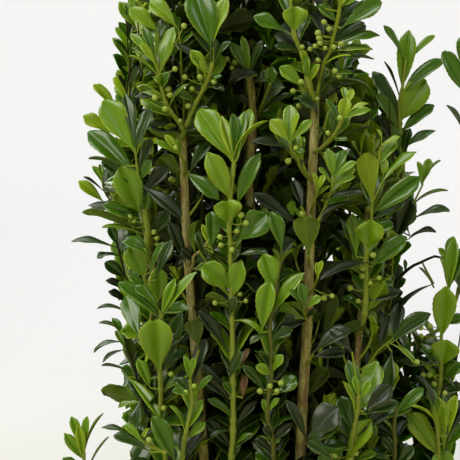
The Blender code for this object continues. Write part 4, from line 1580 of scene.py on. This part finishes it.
choose(
    "far right", "right",
    blade((442, 50), (463, 94), "full", 22, 2, 15),
    blade((446, 105), (464, 138), "deep", 13, 2, 60, curl=0.4),
    blade((466, 34), (464, 78), "full", 20, 0, 20),
    blade((456, 68), (465, 100), "deep", 15, -3, 30),
    blade((453, 268), (462, 296), "deep", 16, 2, 30),
    foot=360, depth=-0.030, thick=(0.0015, 0.0007), reach=0.008,
    path=[(438, 330), (456, 300), (466, 240), (467, 180), (466, 130), (465, 95), (464, 70)],
)
choose(
    "right low", "right",
    blade((446, 285), (441, 342), "olive", 27, 15, 8, curl=0.2),
    blade((447, 339), (441, 370), "olive", 32, 8, 5, curl=0.2, fold=0.3, blunt=0.4),
    blade((455, 238), (450, 292), "young", 18, -2, 30),
    blade((439, 256), (449, 294), "young", 12, 1, 60),
    blade((462, 248), (450, 290), "full", 16, -5, 20),
    blade((463, 364), (441, 382), "full", 18, 5, 25),
    blade((416, 316), (440, 350), "full", 14, -4, 60),
    blade((398, 362), (425, 366), "deep", 14, 2, 50),
    blade((420, 361), (440, 384), "young", 11, 3, 50),
    blade((465, 318), (444, 326), "full", 15, 2, 40),
    blade((463, 386), (440, 398), "deep", 16, -2, 40),
    foot=480, depth=-0.034, thick=(0.0018, 0.0009),
    path=[(414, 450), (430, 415), (439, 390), (441, 364), (441, 341), (444, 315), (449, 290)],
    berries=[(421, 328), (430, 326), (421, 336), (423, 375), (429, 375), (434, 384)],
)
choose(
    "right dark leaves", "front_right",
    blade((431, 314), (386, 344), "deep", 22, 4, 30),
    blade((389, 392), (392, 352), "deep", 19, 3, 30),
    blade((415, 366), (390, 344), "young", 12, 3, 60, curl=0.8),
    blade((389, 314), (378, 346), "old", 16, -2, 30),
    blade((399, 303), (393, 337), "old", 18, -8, 10),
    foot=372, depth=-0.056, path=[(369, 364), (377, 352), (386, 344), (394, 338)],
    berries=[(417, 362)],
)
choose(
    "low right", "front_right",
    blade((377, 360), (357, 414), "young", 24, -15, 24, curl=-0.8, fold=0.12, wave=0.1),
    blade((342, 381), (355, 425), "tip", 12, 5, 62, curl=0.7),
    blade((347, 359), (357, 404), "full", 16, -4, 20),
    blade((353, 376), (358, 398), "young", 9, 1, 20),
    blade((371, 381), (360, 400), "young", 10, 2, 25),
    blade((372, 419), (345, 461), "olive", 25, 12, 24, fold=0.6),
    blade((339, 396), (352, 432), "deep", 22, 0, 20),
    blade((390, 407), (358, 436), "old", 19, 2, 40),
    blade((330, 330), (352, 352), "old", 18, -4, 30),
    blade((391, 386), (364, 412), "old", 20, -4, 15),
    blade((398, 402), (366, 414), "deep", 15, -6, 30),
    foot=500, depth=-0.098, thick=(0.0018, 0.0009),
    path=[(360, 480), (352, 462), (352, 445), (355, 425), (358, 410), (359, 396)],
    berries=[(337, 447), (335, 456), (350, 459), (356, 453)],
)
choose(
    "low right corner", "right",
    blade((406, 412), (438, 454), "olive", 27, 3, 20),
    blade((409, 406), (436, 422), "tip", 10, 4, 80, curl=0.8),
    blade((436, 396), (444, 450), "olive", 24, 3, 14),
    blade((457, 394), (445, 444), "tip", 16, 2, 35),
    blade((440, 448), (441, 482), "young", 30, 9, 5),
    blade((415, 376), (434, 406), "old", 14, -4, 60, curl=0.7),
    blade((428, 386), (438, 420), "full", 13, -6, 30),
    blade((464, 424), (444, 450), "full", 18, 2, 30),
    blade((462, 400), (446, 436), "old", 20, -10, 10),
    foot=560, depth=-0.044, thick=(0.0018, 0.0010),
    path=[(415, 510), (432, 480), (438, 460), (438, 440), (436, 420)],
    berries=[(445, 393)],
)
choose(
    "low right stem", "front_right",
    blade((424, 388), (397, 412), "full", 14, 3, 15, curl=0.8),
    blade((380, 436), (394, 456), "deep", 14, -2, 30),
    blade((414, 446), (396, 470), "deep", 17, 3, 40),
    foot=545, depth=-0.070, thick=(0.0015, 0.0011), kind="dull",
    path=[(384, 500), (392, 476), (395, 450), (394, 425), (397, 408)],
    berries=[(372, 453)],
)
choose(
    "low middle", "front",
    blade((305, 442), (330, 460), "deep", 15, 2, 30),
    blade((318, 456), (331, 474), "full", 14, 4, 30),
    foot=505, depth=-0.094, thick=(0.0011, 0.0007), kind="dull",
    path=[(318, 490), (328, 474), (332, 463), (331, 454)],
)
choose(
    "low middle dark", "front",
    blade((338, 408), (309, 437), "old", 31, 4, 30, fold=0.2),
    blade((285, 400), (305, 441), "old", 15, 2, 40),
    foot=470, depth=-0.096, thick=(0.0007, 0.0005), kind="brown",
    path=[(304, 458), (306, 447), (308, 437)],
)


goesOn = {"front": "front right top", "front_left": "fork right"}
chosenLines = {}

chosenRule = {
    "leavingSteps": 5,
    "bladeCover": 6,
    "curl": 0.3,
    "fold": (0.32, 0.58),
    "berryRadius": (0.0015, 0.0020),
    "berryAhead": 0.0022,
    "leadingFrom": 0.0012,
    "jointSteps": 0.0011,
    "joint": 0.32,
    "jointReach": 0.0015,
    "farBase": 5.0,           # pixels; further from the shoot a leaf gets a stalk of its own
}


def stemAtRow(stem, row):
    low, high = 0.05, stem["tip"]
    for _ in range(30):
        middle = (low + high) / 2
        if toPixel(stemPoint(stem, middle))[1] > row:
            low = middle
        else:
            high = middle
    return stemPoint(stem, low)


def smoothLine(points, steps):
    line = []
    for i in range(len(points) - 1):
        before = points[max(0, i - 1)]
        start, end = points[i], points[i + 1]
        after = points[min(len(points) - 1, i + 2)]
        for j in range(steps):
            t = j / steps
            line.append(0.5 * (2 * start + (end - before) * t
                               + (2 * before - 5 * start + 4 * end - after) * t * t
                               + (3 * start - before - 3 * end + after) * t ** 3))
    return line + [points[-1]]


def nearestOn(line, pixel):
    def away(point):
        column, row = toPixel(point)
        return math.hypot(column - pixel[0], row - pixel[1])
    nearest = min(line, key=away)
    return nearest, away(nearest)


def addBlade(line, chosen, rng):
    root, gap = nearestOn(line, chosen["base"])
    if gap > chosenRule["farBase"]:
        carrier = root
        root = atPixel(*chosen["base"], carrier.y - 0.001)
        shoots.append(([carrier, (carrier + root) / 2, root], [0.0006] * 3, "green"))
    tip = atPixel(*chosen["tip"], root.y - chosen["near"] / 1000)
    chord = tip - root
    way = chord.normalized()
    ahead = (toCamera - way * way.dot(toCamera)).normalized()
    aside = way.cross(ahead)
    if chosen["tip"][0] > chosen["base"][0]:
        aside = -aside
    turn = math.radians(chosen["turn"])
    face = ahead * math.cos(turn) + aside * math.sin(turn)
    curl = chosen.get("curl", chosenRule["curl"])
    start = way * math.cos(curl / 2) + face * math.sin(curl / 2)
    length = chord.length * (curl / 2) / math.sin(curl / 2)
    halfWidth = chosen["wide"] / 2 * picture["pixel"]
    changes = {"halfWidth": halfWidth, "curl": curl, "chosen": True, "fold": rng.uniform(*chosenRule["fold"])}
    for label in ("notch", "wave", "fold", "blunt"):
        if label in chosen:
            changes[label] = chosen[label]
    faceThere = face * math.cos(curl / 2) - way * math.sin(curl / 2)
    addLeaf(root, start, faceThere, length, chosen["tint"], rng, **changes)
    across = way.cross(face) * halfWidth * 0.8
    steps = chosenRule["bladeCover"]
    for i in range(steps + 1):
        for side in (-1, 0, 1):
            show(root + chord * (0.15 + 0.85 * i / steps) + across * side)
    crowded(root + chord * 0.6)


def shootLine(chosen):
    foot = stemAtRow(stems[chosen["stem"]], chosen["foot"])
    path = chosen["path"]
    points = [foot]
    for i, pixel in enumerate(path):
        share = ((i + 1) / len(path)) ** 0.7
        points.append(atPixel(*pixel, foot.y + (chosen["depth"] - foot.y) * share))
    return smoothLine(points, chosenRule["leavingSteps"])


def jointed(line, thick, roots):
    count = max(2, round(lineLength(line) / chosenRule["jointSteps"]))
    points = [pointAlong(line, i / count)[0] for i in range(count + 1)]
    radii = []
    for point, radius in zip(points, taperedRadii(points, *thick)):
        away = min((point - root).length for root in roots)
        radii.append(radius * (1 + chosenRule["joint"] * math.exp(-(away / chosenRule["jointReach"]) ** 2)))
    return points, radii


def growChosen(name, chosen):
    rng = random.Random(f"{plantSeed}_{name}")
    line = shootLine(chosen)
    chosenLines[name] = line
    kind = chosen.get("kind", "leading" if chosen["thick"][0] >= chosenRule["leadingFrom"] else "green")
    if kind in ("leading", "dull"):
        roots = [nearestOn(line, leaf["base"])[0] for leaf in chosen["leaves"]]
        shoots.append((*jointed(line, chosen["thick"], roots), kind))
    else:
        shoots.append((line, taperedRadii(line, *chosen["thick"]), kind))
    for point in line:
        show(point)
    for leaf in chosen["leaves"]:
        addBlade(line, leaf, rng)
    for pixel in chosen["berries"]:
        root, _ = nearestOn(line, pixel)
        centre = atPixel(*pixel, root.y - chosenRule["berryAhead"])
        show(centre)
        berries.append({"position": centre, "way": (centre - root + up * 0.003).normalized(),
                        "radius": rng.uniform(*chosenRule["berryRadius"])})
        bend = root.lerp(centre, 0.5) - up * 0.0012
        shoots.append(([root, bend, centre], [berryRule["stalkRadius"]] * 3, "green"))


bareStems = {
    "front": (106, 470),
    "front_left": (134, 300),
    "centre": (84, 200),
    "front_right": (320, 374),
}
for name, (first, last) in bareStems.items():
    for row in range(first, last, 3):
        middle = stemAtRow(stems[name], row)
        for side in (-1, 0, 1):
            show(middle + Vector((side * stems[name]["radius"] * 0.8, 0.0, 0.0)))
for name, chosen in chosenShoots.items():
    growChosen(name, chosen)
print("chosen:", len(leaves), "leaves on", len(chosenShoots), "shoots")


# Between their chosen leaves these shoots carry more, wherever those stay in view

fillRule = {
    "spacing": 0.0036,
    "first": 0.10,
    "length": (0.50, 0.98),
    "angle": (26, 62),
    "shortest": 0.030,
    # Painted shade: fillers whose tips fall in this part of the picture take the dark tints
    "shade": (200, 345, 320),       # from column, to column, below row
    "mixed": ("full", "full", "deep", "deep", "young", "old"),
    "green": ("full", "full", "deep", "young", "olive"),
    "light": ("young", "olive", "full", "young", "tip"),
    # The dark tints serve as painted shade, here and on the back shoots that carry dark leaves
    "dark": ("deep", "deep", "old", "full"),
}

backShoots = {}


def addBack(name, stem, foot, depth, leaves, *path):
    backShoots[name] = {"stem": stem, "foot": foot, "depth": depth, "leaves": leaves, "path": path}


addBack("top middle", "centre", 110, -0.030, "dark", (262, 96), (268, 78), (270, 58), (270, 36))
addBack("left mass", "back_left", 200, -0.035, "light",
        (152, 170), (150, 140), (146, 112), (143, 84), (141, 56), (138, 28), (136, 2))
addBack("left mass inner", "front_left", 170, -0.050, "mixed",
        (176, 140), (172, 112), (174, 84), (178, 56), (180, 28), (182, 0))
addBack("left mass middle", "front_left", 170, -0.045, "mixed",
        (166, 130), (163, 100), (163, 74), (165, 46), (167, 20), (168, -4))
addBack("left mass right", "front_left", 150, -0.040, "mixed",
        (190, 130), (187, 100), (190, 70), (192, 40), (195, 12), (197, -8))
addBack("shade left", "front_left", 290, -0.030, "dark", (182, 262), (179, 235), (180, 208), (184, 180))
addBack("shade middle", "centre", 280, 0.004, "dark",
        (280, 260), (283, 225), (285, 195), (288, 165), (290, 130))
addBack("shade back", "back", 245, 0.030, "dark",
        (258, 222), (263, 195), (270, 170), (275, 145), (279, 118))
addBack("shade back right", "back_right", 290, 0.030, "dark",
        (304, 262), (300, 232), (301, 202), (299, 172), (297, 150))
addBack("shade right", "front_right", 330, -0.012, "dark",
        (330, 300), (326, 270), (325, 245), (327, 215), (331, 190))
addBack("left mass outer", "back_left", 180, -0.020, "light",
        (140, 150), (134, 124), (130, 100), (130, 76), (128, 50), (127, 26), (126, 4))
addBack("right mass", "right", 230, 0.0, "green",
        (388, 200), (384, 174), (380, 148), (378, 122), (377, 98), (376, 84))
addBack("right mass outer", "right", 220, -0.020, "green",
        (396, 200), (395, 174), (392, 148), (390, 122), (389, 100))
addBack("right mass inner", "front_right", 260, -0.030, "green",
        (370, 200), (366, 170), (362, 140), (362, 112), (363, 88))
addBack("right inner", "right", 330, -0.012, "dark",
        (390, 300), (388, 270), (390, 244), (394, 220), (398, 200))
addBack("right inner low", "right", 400, -0.010, "dark", (384, 370), (386, 344), (388, 318), (388, 296))
addBack("right low back", "right", 450, -0.020, "dark",
        (396, 420), (402, 392), (410, 366), (420, 346), (428, 334))
addBack("top right", "back_right", 160, 0.020, "dark", (318, 140), (328, 116), (336, 94), (340, 72))
addBack("far right low", "right", 520, -0.010, "dark",
        (436, 430), (448, 395), (456, 362), (461, 330), (465, 300))
addBack("right edge low", "right", 530, -0.015, "dark",
        (440, 490), (450, 462), (455, 432), (457, 404), (456, 380))
addBack("low right back", "right", 540, -0.020, "mixed",
        (410, 480), (420, 450), (428, 420), (440, 396), (450, 376))


def fillShoot(name, line, tints, reach=-0.002, sides=(-1, 1)):
    rng = random.Random(f"{plantSeed}_{name}_fill")
    if lineLength(line) < fillRule["shortest"]:
        return
    count = round(lineLength(line) / fillRule["spacing"])
    turn = rng.uniform(0, 2 * math.pi)
    for i in range(count):
        share = fillRule["first"] + (1 - fillRule["first"]) * i / count
        root, axis = pointAlong(line, share)
        for _ in range(5):
            turn += goldenAngle
            way = (tilted(axis, turn, math.radians(rng.uniform(*fillRule["angle"]))) + up * 0.1).normalized()
            full = leafRule["length"] * rng.uniform(*fillRule["length"])
            tip = root + way * full
            places = [root + way * full * part for part in (0.3, 0.5, 0.7, 0.85, 1.0)]
            inside = math.hypot(tip.x, tip.y) < crownRadius(tip.z) + reach
            across = way.cross(axis).normalized() * full * 0.2
            places += [places[1] + across * side for side in sides]
            seen = all(inPlant(place, 4.0) and unhiding(place) for place in places)
            if inside and seen and not crowded(places[2]):
                column, row = toPixel(tip)
                # In the shaded part of the picture the leaf takes a dark tint, a painted shade
                first, last, below = fillRule["shade"]
                kinds = fillRule["dark"] if first < column < last and row > below else tints
                addLeaf(root, way, axis, full, rng.choice(kinds), rng, curl=rng.uniform(0.1, 0.9))
                break


for name, line in list(chosenLines.items()):
    fillShoot(name, line, fillRule["mixed"], chosenShoots[name].get("reach", -0.002))
for name, chosen in backShoots.items():
    line = shootLine(chosen)
    shoots.append((line, taperedRadii(line, 0.0008, 0.0004), "brown"))
    fillShoot(name, line, fillRule[chosen["leaves"]], sides=())
print("with those between:", len(leaves), "leaves")


# The rest of the crown grows by rule

innerRule = {
    "spacing": 0.0060,
    "length": (0.016, 0.044),
    "radius": 0.0008,
}


def growInside(name, stem):
    rng = random.Random(f"{plantSeed}_{name}_inside")
    turn = rng.uniform(0, 2 * math.pi)
    z = firstHeight(stem)
    while z < stem["tip"]:
        axis = stemWay(stem, z)
        turn += goldenAngle
        side = tilted(axis, turn, math.pi / 2)
        root = stemPoint(stem, z) + side * stemRadius(stem, z) * 0.5
        last = (side * 0.5 + up).normalized()
        line = curvedLine(root, (side + axis * 0.4).normalized(), last, rng.uniform(*innerRule["length"]))
        end = line[-1]
        if inCrown(end, stem) and math.hypot(end.x, end.y) < 0.66 * crownRadius(end.z):
            shoots.append((line, taperedRadii(line, innerRule["radius"], shootRule["tipRadius"]), "brown"))
            clothe(line, stem, rng, first=0.15, size=1.08, vigour=0.0)
        z += innerRule["spacing"] * rng.uniform(0.8, 1.2)


for name, stem in stems.items():
    growStem(name, stem)
    growBeside(name, stem)
    growLeader(name, stem)
    growInside(name, stem)
print("grown:", len(leaves), "leaves,", len(shoots), "shoots,", len(berries), "berries")


# Leaves: closed blades with a fold along the rib, a rounded tip and a curl, one tree for all

leafShape = {
    "outline": [(0.0, 0.07), (0.07, 0.10), (0.17, 0.31), (0.33, 0.66), (0.49, 0.90), (0.63, 1.0),
                (0.77, 0.97), (0.89, 0.79), (0.96, 0.56), (1.0, 0.36)],
    "columns": [(0.0, 0.0), (0.111, 0.035), (0.143, 0.05), (0.333, 0.20), (0.43, 0.36), (0.556, 0.54),
                (0.714, 0.86), (0.778, 0.90), (1.0, 1.0)],
    "section": [(0.0, 0.0), (0.04, 0.06), (0.20, 0.52), (0.54, 0.92), (0.90, 1.0), (1.0, 0.97)],
    "thickness": 0.00042,
    "tipRound": 0.085,
    "broadTip": 0.35,
    "teeth": 0.045,
    "teethFrom": 0.3,
    "tipPower": 12.0,
    "ribLight": 0.12,
    "ribHalf": 0.02,
    "ribTo": 0.86,
    "litRimFrom": 0.92,
    "waves": 1.5,
    "mostTriangles": 190000,
}

leafDetail = {
    "nearDepth": -0.030,
    "nearFrom": 0.45,         # shares of the crown's radius
    "farFrom": 0.52,
    "margin": 20,             # pixels round the picture
}

leafNumbers = ("length", "halfWidth", "fold", "curl", "wave", "notch", "blunt")

# Each tint's rim colour is a painted highlight: the leaf edges made lighter, as where light catches them
leafTints = {
    "tip": {"rough": 0.34, "top": (0.165, 0.250, 0.004), "under": (0.175, 0.235, 0.010),
            "litRim": (0.30, 0.35, 0.022)},
    "young": {"rough": 0.30, "top": (0.095, 0.180, 0.003), "under": (0.150, 0.205, 0.009),
              "litRim": (0.21, 0.28, 0.020)},
    "olive": {"rough": 0.38, "top": (0.125, 0.212, 0.002), "under": (0.112, 0.172, 0.006),
              "litRim": (0.22, 0.24, 0.020)},
    "full": {"rough": 0.27, "top": (0.035, 0.095, 0.001), "under": (0.070, 0.106, 0.008),
             "litRim": (0.12, 0.17, 0.018)},
    # The deep tint here and the old tint below are darker copies of the greens: partly the older leaves' own
    # colour, partly painted shade for leaves inside the crown or in shadow
    "deep": {"rough": 0.31, "top": (0.014, 0.040, 0.001), "under": (0.034, 0.053, 0.006),
             "litRim": (0.065, 0.09, 0.014)},
    "dry": {"rough": 0.6, "top": (0.105, 0.052, 0.018), "under": (0.085, 0.050, 0.022),
            "litRim": (0.12, 0.07, 0.03)},
    "old": {"rough": 0.42, "top": (0.0055, 0.014, 0.0015), "under": (0.016, 0.022, 0.005),
            "litRim": (0.034, 0.045, 0.012)},
}

leafGloss = {
    "Specular IOR Level": 0.48,
    "Subsurface Weight": 0.35,
    "Subsurface Radius": (0.5, 1.0, 0.15),
    "Subsurface Scale": 0.0012,
}


def leafTree():
    tree, inputs = geometryTree("leaf", {
        "Columns": "Int", "Rows": "Int", "Thickness": "Float", "Teeth": "Float",
        "Top": "Material", "Underside": "Material", "LitRim": "Material", "Rib": "Material"})
    grid = Wire.node(tree, "GeometryNodeMeshGrid", None,
                     {"Size X": 2.0, "Size Y": 1.0,
                      "Vertices X": inputs["Columns"], "Vertices Y": inputs["Rows"]})
    place = Wire.node(tree, "GeometryNodeInputPosition")
    x, y = place.axis(0), place.axis(1)
    onRim = (x.absolute() > 0.99) + (y.absolute() > 0.499) > 0.5
    grid = stored(grid, "across", x.absolute().shaped(leafShape["columns"]) * x.math("SIGN"))
    grid = stored(grid, "along", y + 0.5)
    halves = []
    for side in (1.0, -1.0):
        half = stored(grid, "side", (1.0 - onRim) * side)
        lift = Wire.node(tree, "ShaderNodeCombineXYZ", None, {2: (1.0 - onRim) * (side * 0.01)})
        half = moved(half, Offset=lift)
        if side < 0:
            half = half.passed("GeometryNodeFlipFaces")
        halves.append(half)
    blade = tree.nodes.new("GeometryNodeJoinGeometry")
    for half in reversed(halves):
        tree.links.new(half.socket, blade.inputs[0])
    blade = Wire.node(tree, "GeometryNodeMergeByDistance", None,
                      {"Geometry": Wire(tree, blade.outputs[0]), "Distance": 0.001})

    roots = stored(inputs["Geometry"], "root", place, "FLOAT_VECTOR")
    blades = Wire.node(tree, "GeometryNodeInstanceOnPoints", None, {"Points": roots, "Instance": blade})
    blades = blades.passed("GeometryNodeRealizeInstances")

    across, along, side = (named(tree, label) for label in ("across", "along", "side"))
    length, halfWidth, fold, curl, wave, notch, blunt = (named(tree, label) for label in leafNumbers)
    way, face, root = (named(tree, label, "FLOAT_VECTOR") for label in ("way", "face", "root"))
    shifted = along.math("POWER", blunt + 1.0)
    outline = shifted.shaped(leafShape["outline"])
    outline = outline + blunt * leafShape["broadTip"] * along.math("POWER", leafShape["tipPower"])
    step = along * (inputs["Rows"] - 1.0)
    onEdge = (across.absolute() > 0.99) * (along > leafShape["teethFrom"])
    tooth = step.math("ROUND").math("MODULO", 2.0) * onEdge
    flat = across * halfWidth * outline * (1.0 - tooth * inputs["Teeth"])
    tipBack = across * across * along.math("POWER", 5.0) * leafShape["tipRound"]
    middle = 1.0 - across.absolute()
    share = along - tipBack - notch * middle * middle * along.math("POWER", leafShape["tipPower"])
    sideways = flat * fold.math("COSINE")
    lift = across.absolute().shaped(leafShape["section"]) * halfWidth * outline * fold.math("SINE")
    phase = along * (2 * math.pi * leafShape["waves"]) + fold * 20.0
    lift = lift + flat * wave * phase.math("SINE") * 2.0 + side * inputs["Thickness"] * 0.5
    bend = curl * share
    forward = length * bend.math("SINE") / curl + lift * bend.math("SINE")
    raised = lift * bend.math("COSINE") - length * (1.0 - bend.math("COSINE")) / curl
    right = way.vector("CROSS_PRODUCT", face)
    spot = root.vector("ADD", right.scaled(sideways))
    spot = spot.vector("ADD", way.scaled(forward))
    spot = spot.vector("ADD", face.scaled(raised))
    blades = moved(blades, Position=spot)
    blades = stored(blades, "sharp_edge", side.absolute() < 0.01, "BOOLEAN", "EDGE")
    blades = blades.passed("GeometryNodeSetShadeSmooth")
    onRib = (across.absolute() < leafShape["ribHalf"]) * (along < leafShape["ribTo"]) > 0.5
    blades = painted(blades, inputs["Top"])
    blades = painted(blades, inputs["Underside"], side < -0.01)
    blades = painted(blades, inputs["Rib"], onRib)
    # The rim faces get the rim colour, a painted highlight of the edges catching light
    blades = painted(blades, inputs["LitRim"], across.absolute() > leafShape["litRimFrom"])
    endTree(tree, blades)
    return tree


def makeLeaves():
    tree = leafTree()
    grids = {
        "fine": {"Columns": 10, "Rows": 21, "Teeth": leafShape["teeth"]},
        "near": {"Columns": 8, "Rows": 13, "Teeth": leafShape["teeth"]},
        "far": {"Columns": 5, "Rows": 7, "Teeth": 0.0},
        "inner": {"Columns": 3, "Rows": 5, "Teeth": 0.0},
    }
    total = 0
    for tint, colours in leafTints.items():
        finishes = {}
        rib = [top * (1 - leafShape["ribLight"]) + litRim * leafShape["ribLight"]
               for top, litRim in zip(colours["top"], colours["litRim"])]
        for label, key in (("Top", "top"), ("Underside", "under"), ("LitRim", "litRim"), ("Rib", "rib")):
            settings = dict(leafGloss)
            settings["Base Color"] = rib if key == "rib" else colours[key]
            settings["Roughness"] = colours["rough"]
            if key in ("under", "litRim"):
                settings["Roughness"] = 0.5
                settings["Specular IOR Level"] = 0.2
            finishes[label], _ = plainMaterial(f"leaf_{tint}_{key}", settings)
        for detail, sizes in grids.items():
            most = leafShape["mostTriangles"] // ((sizes["Columns"] - 1) * (sizes["Rows"] - 1) * 4)
            chosen = [leaf for leaf in leaves if leaf["tint"] == tint and detailOf(leaf) == detail]
            for number, first in enumerate(range(0, len(chosen), most)):
                batch = chosen[first:first + most]
                values = {label: [leaf[label] for leaf in batch] for label in ("way", "face", *leafNumbers)}
                cloud = pointCloud("leaves", {"position": [leaf["root"] for leaf in batch], **values})
                piece = grown(f"leaves_{tint}_{detail}_{number + 1}", cloud, tree,
                              {**sizes, **finishes, "Thickness": leafShape["thickness"]})
                finished(piece, "leaf")
                total += triangles(piece)
    print("leaves ready:", total, "triangles")


def detailOf(leaf):
    if leaf.get("chosen"):
        return "fine"
    point = leaf["root"] + leaf["way"] * leaf["length"] * 0.5
    column, row = toPixel(point)
    low, high = -leafDetail["margin"], picture["side"] + leafDetail["margin"]
    seen = low < column < high and low < row < high
    outer = outerShare(point)
    if point.y < leafDetail["nearDepth"] and outer > leafDetail["nearFrom"] and seen:
        return "near"
    return "far" if outer > leafDetail["farFrom"] else "inner"


makeLeaves()


# Shoots and berries

shootKinds = {
    "green": {"sides": 6, "rings": 0.0040, "slot": "leaf",
              "Base Color": (0.150, 0.185, 0.014), "Roughness": 0.5},
    "leading": {"sides": 8, "rings": 0.0012, "slot": "leaf",
                "Base Color": (0.170, 0.205, 0.028), "Roughness": 0.5},
    "dull": {"sides": 8, "rings": 0.0012, "slot": "leaf",
             "Base Color": (0.085, 0.088, 0.020), "Roughness": 0.6},
    "brown": {"sides": 5, "rings": 0.0050, "slot": "bark",
              "Base Color": (0.028, 0.021, 0.008), "Roughness": 0.9},
    "wood": {"sides": 12, "rings": 0.0025, "slot": "bark"},
}

shootLumps = {"Lumps": 0.0002, "Lump scale": 300.0}


def makeShoots(tube):
    masses = sorted(name for name in frame["nodes"] if name.startswith("foliage_"))
    for kind, rule in shootKinds.items():
        material = barkFinish
        if "Base Color" in rule:
            settings = {label: rule[label] for label in ("Base Color", "Roughness")}
            material, _ = plainMaterial("shoot_" + kind, {"Specular IOR Level": 0.2, **settings})
        cloud, edges = polyline([(points, radii) for points, radii, made in shoots if made == kind])
        piece = grown("shoots_" + kind, pointCloud("shoots", cloud, edges), tube, {
            "Sides": rule["sides"], "Ring spacing": rule["rings"], "Material": material, **shootLumps})
        finished(piece, rule["slot"], *(masses if kind == "green" else ()))
        print(piece.name, triangles(piece), "triangles")


berryShape = {
    "segments": 10,
    "rings": 7,
    "eyeFrom": 0.94,
    "skin": {"Base Color": (0.230, 0.290, 0.040), "Roughness": 0.38, "Subsurface Weight": 0.3,
             "Subsurface Radius": (0.5, 1.0, 0.2), "Subsurface Scale": 0.002},
    "eye": {"Base Color": (0.030, 0.028, 0.012), "Roughness": 0.8},
}


def makeBerries():
    tree, inputs = geometryTree("berry", {"Segments": "Int", "Rings": "Int",
                                          "Skin": "Material", "Eye": "Material"})
    ball = Wire.node(tree, "GeometryNodeMeshUVSphere", None,
                     {"Segments": inputs["Segments"], "Rings": inputs["Rings"], "Radius": 1.0})
    ball = stored(ball, "pole", Wire.node(tree, "GeometryNodeInputPosition").axis(2))
    turn = Wire.node(tree, "FunctionNodeAlignRotationToVector", {"axis": "Z"},
                     {"Vector": named(tree, "way", "FLOAT_VECTOR")})
    balls = Wire.node(tree, "GeometryNodeInstanceOnPoints", None,
                      {"Points": inputs["Geometry"], "Instance": ball, "Rotation": turn,
                       "Scale": named(tree, "radius")})
    balls = balls.passed("GeometryNodeRealizeInstances").passed("GeometryNodeSetShadeSmooth")
    balls = painted(balls, inputs["Skin"])
    endTree(tree, painted(balls, inputs["Eye"], named(tree, "pole") > berryShape["eyeFrom"]))
    skin, _ = plainMaterial("berry_skin", berryShape["skin"])
    eye, _ = plainMaterial("berry_eye", berryShape["eye"])
    values = {label: [berry[label] for berry in berries] for label in ("position", "way", "radius")}
    piece = grown("berries", pointCloud("berries", values), tree, {
        "Segments": berryShape["segments"], "Rings": berryShape["rings"], "Skin": skin, "Eye": eye})
    finished(piece, "leaf")


makeShoots(tubes)
makeBerries()
print("shoots and berries ready")
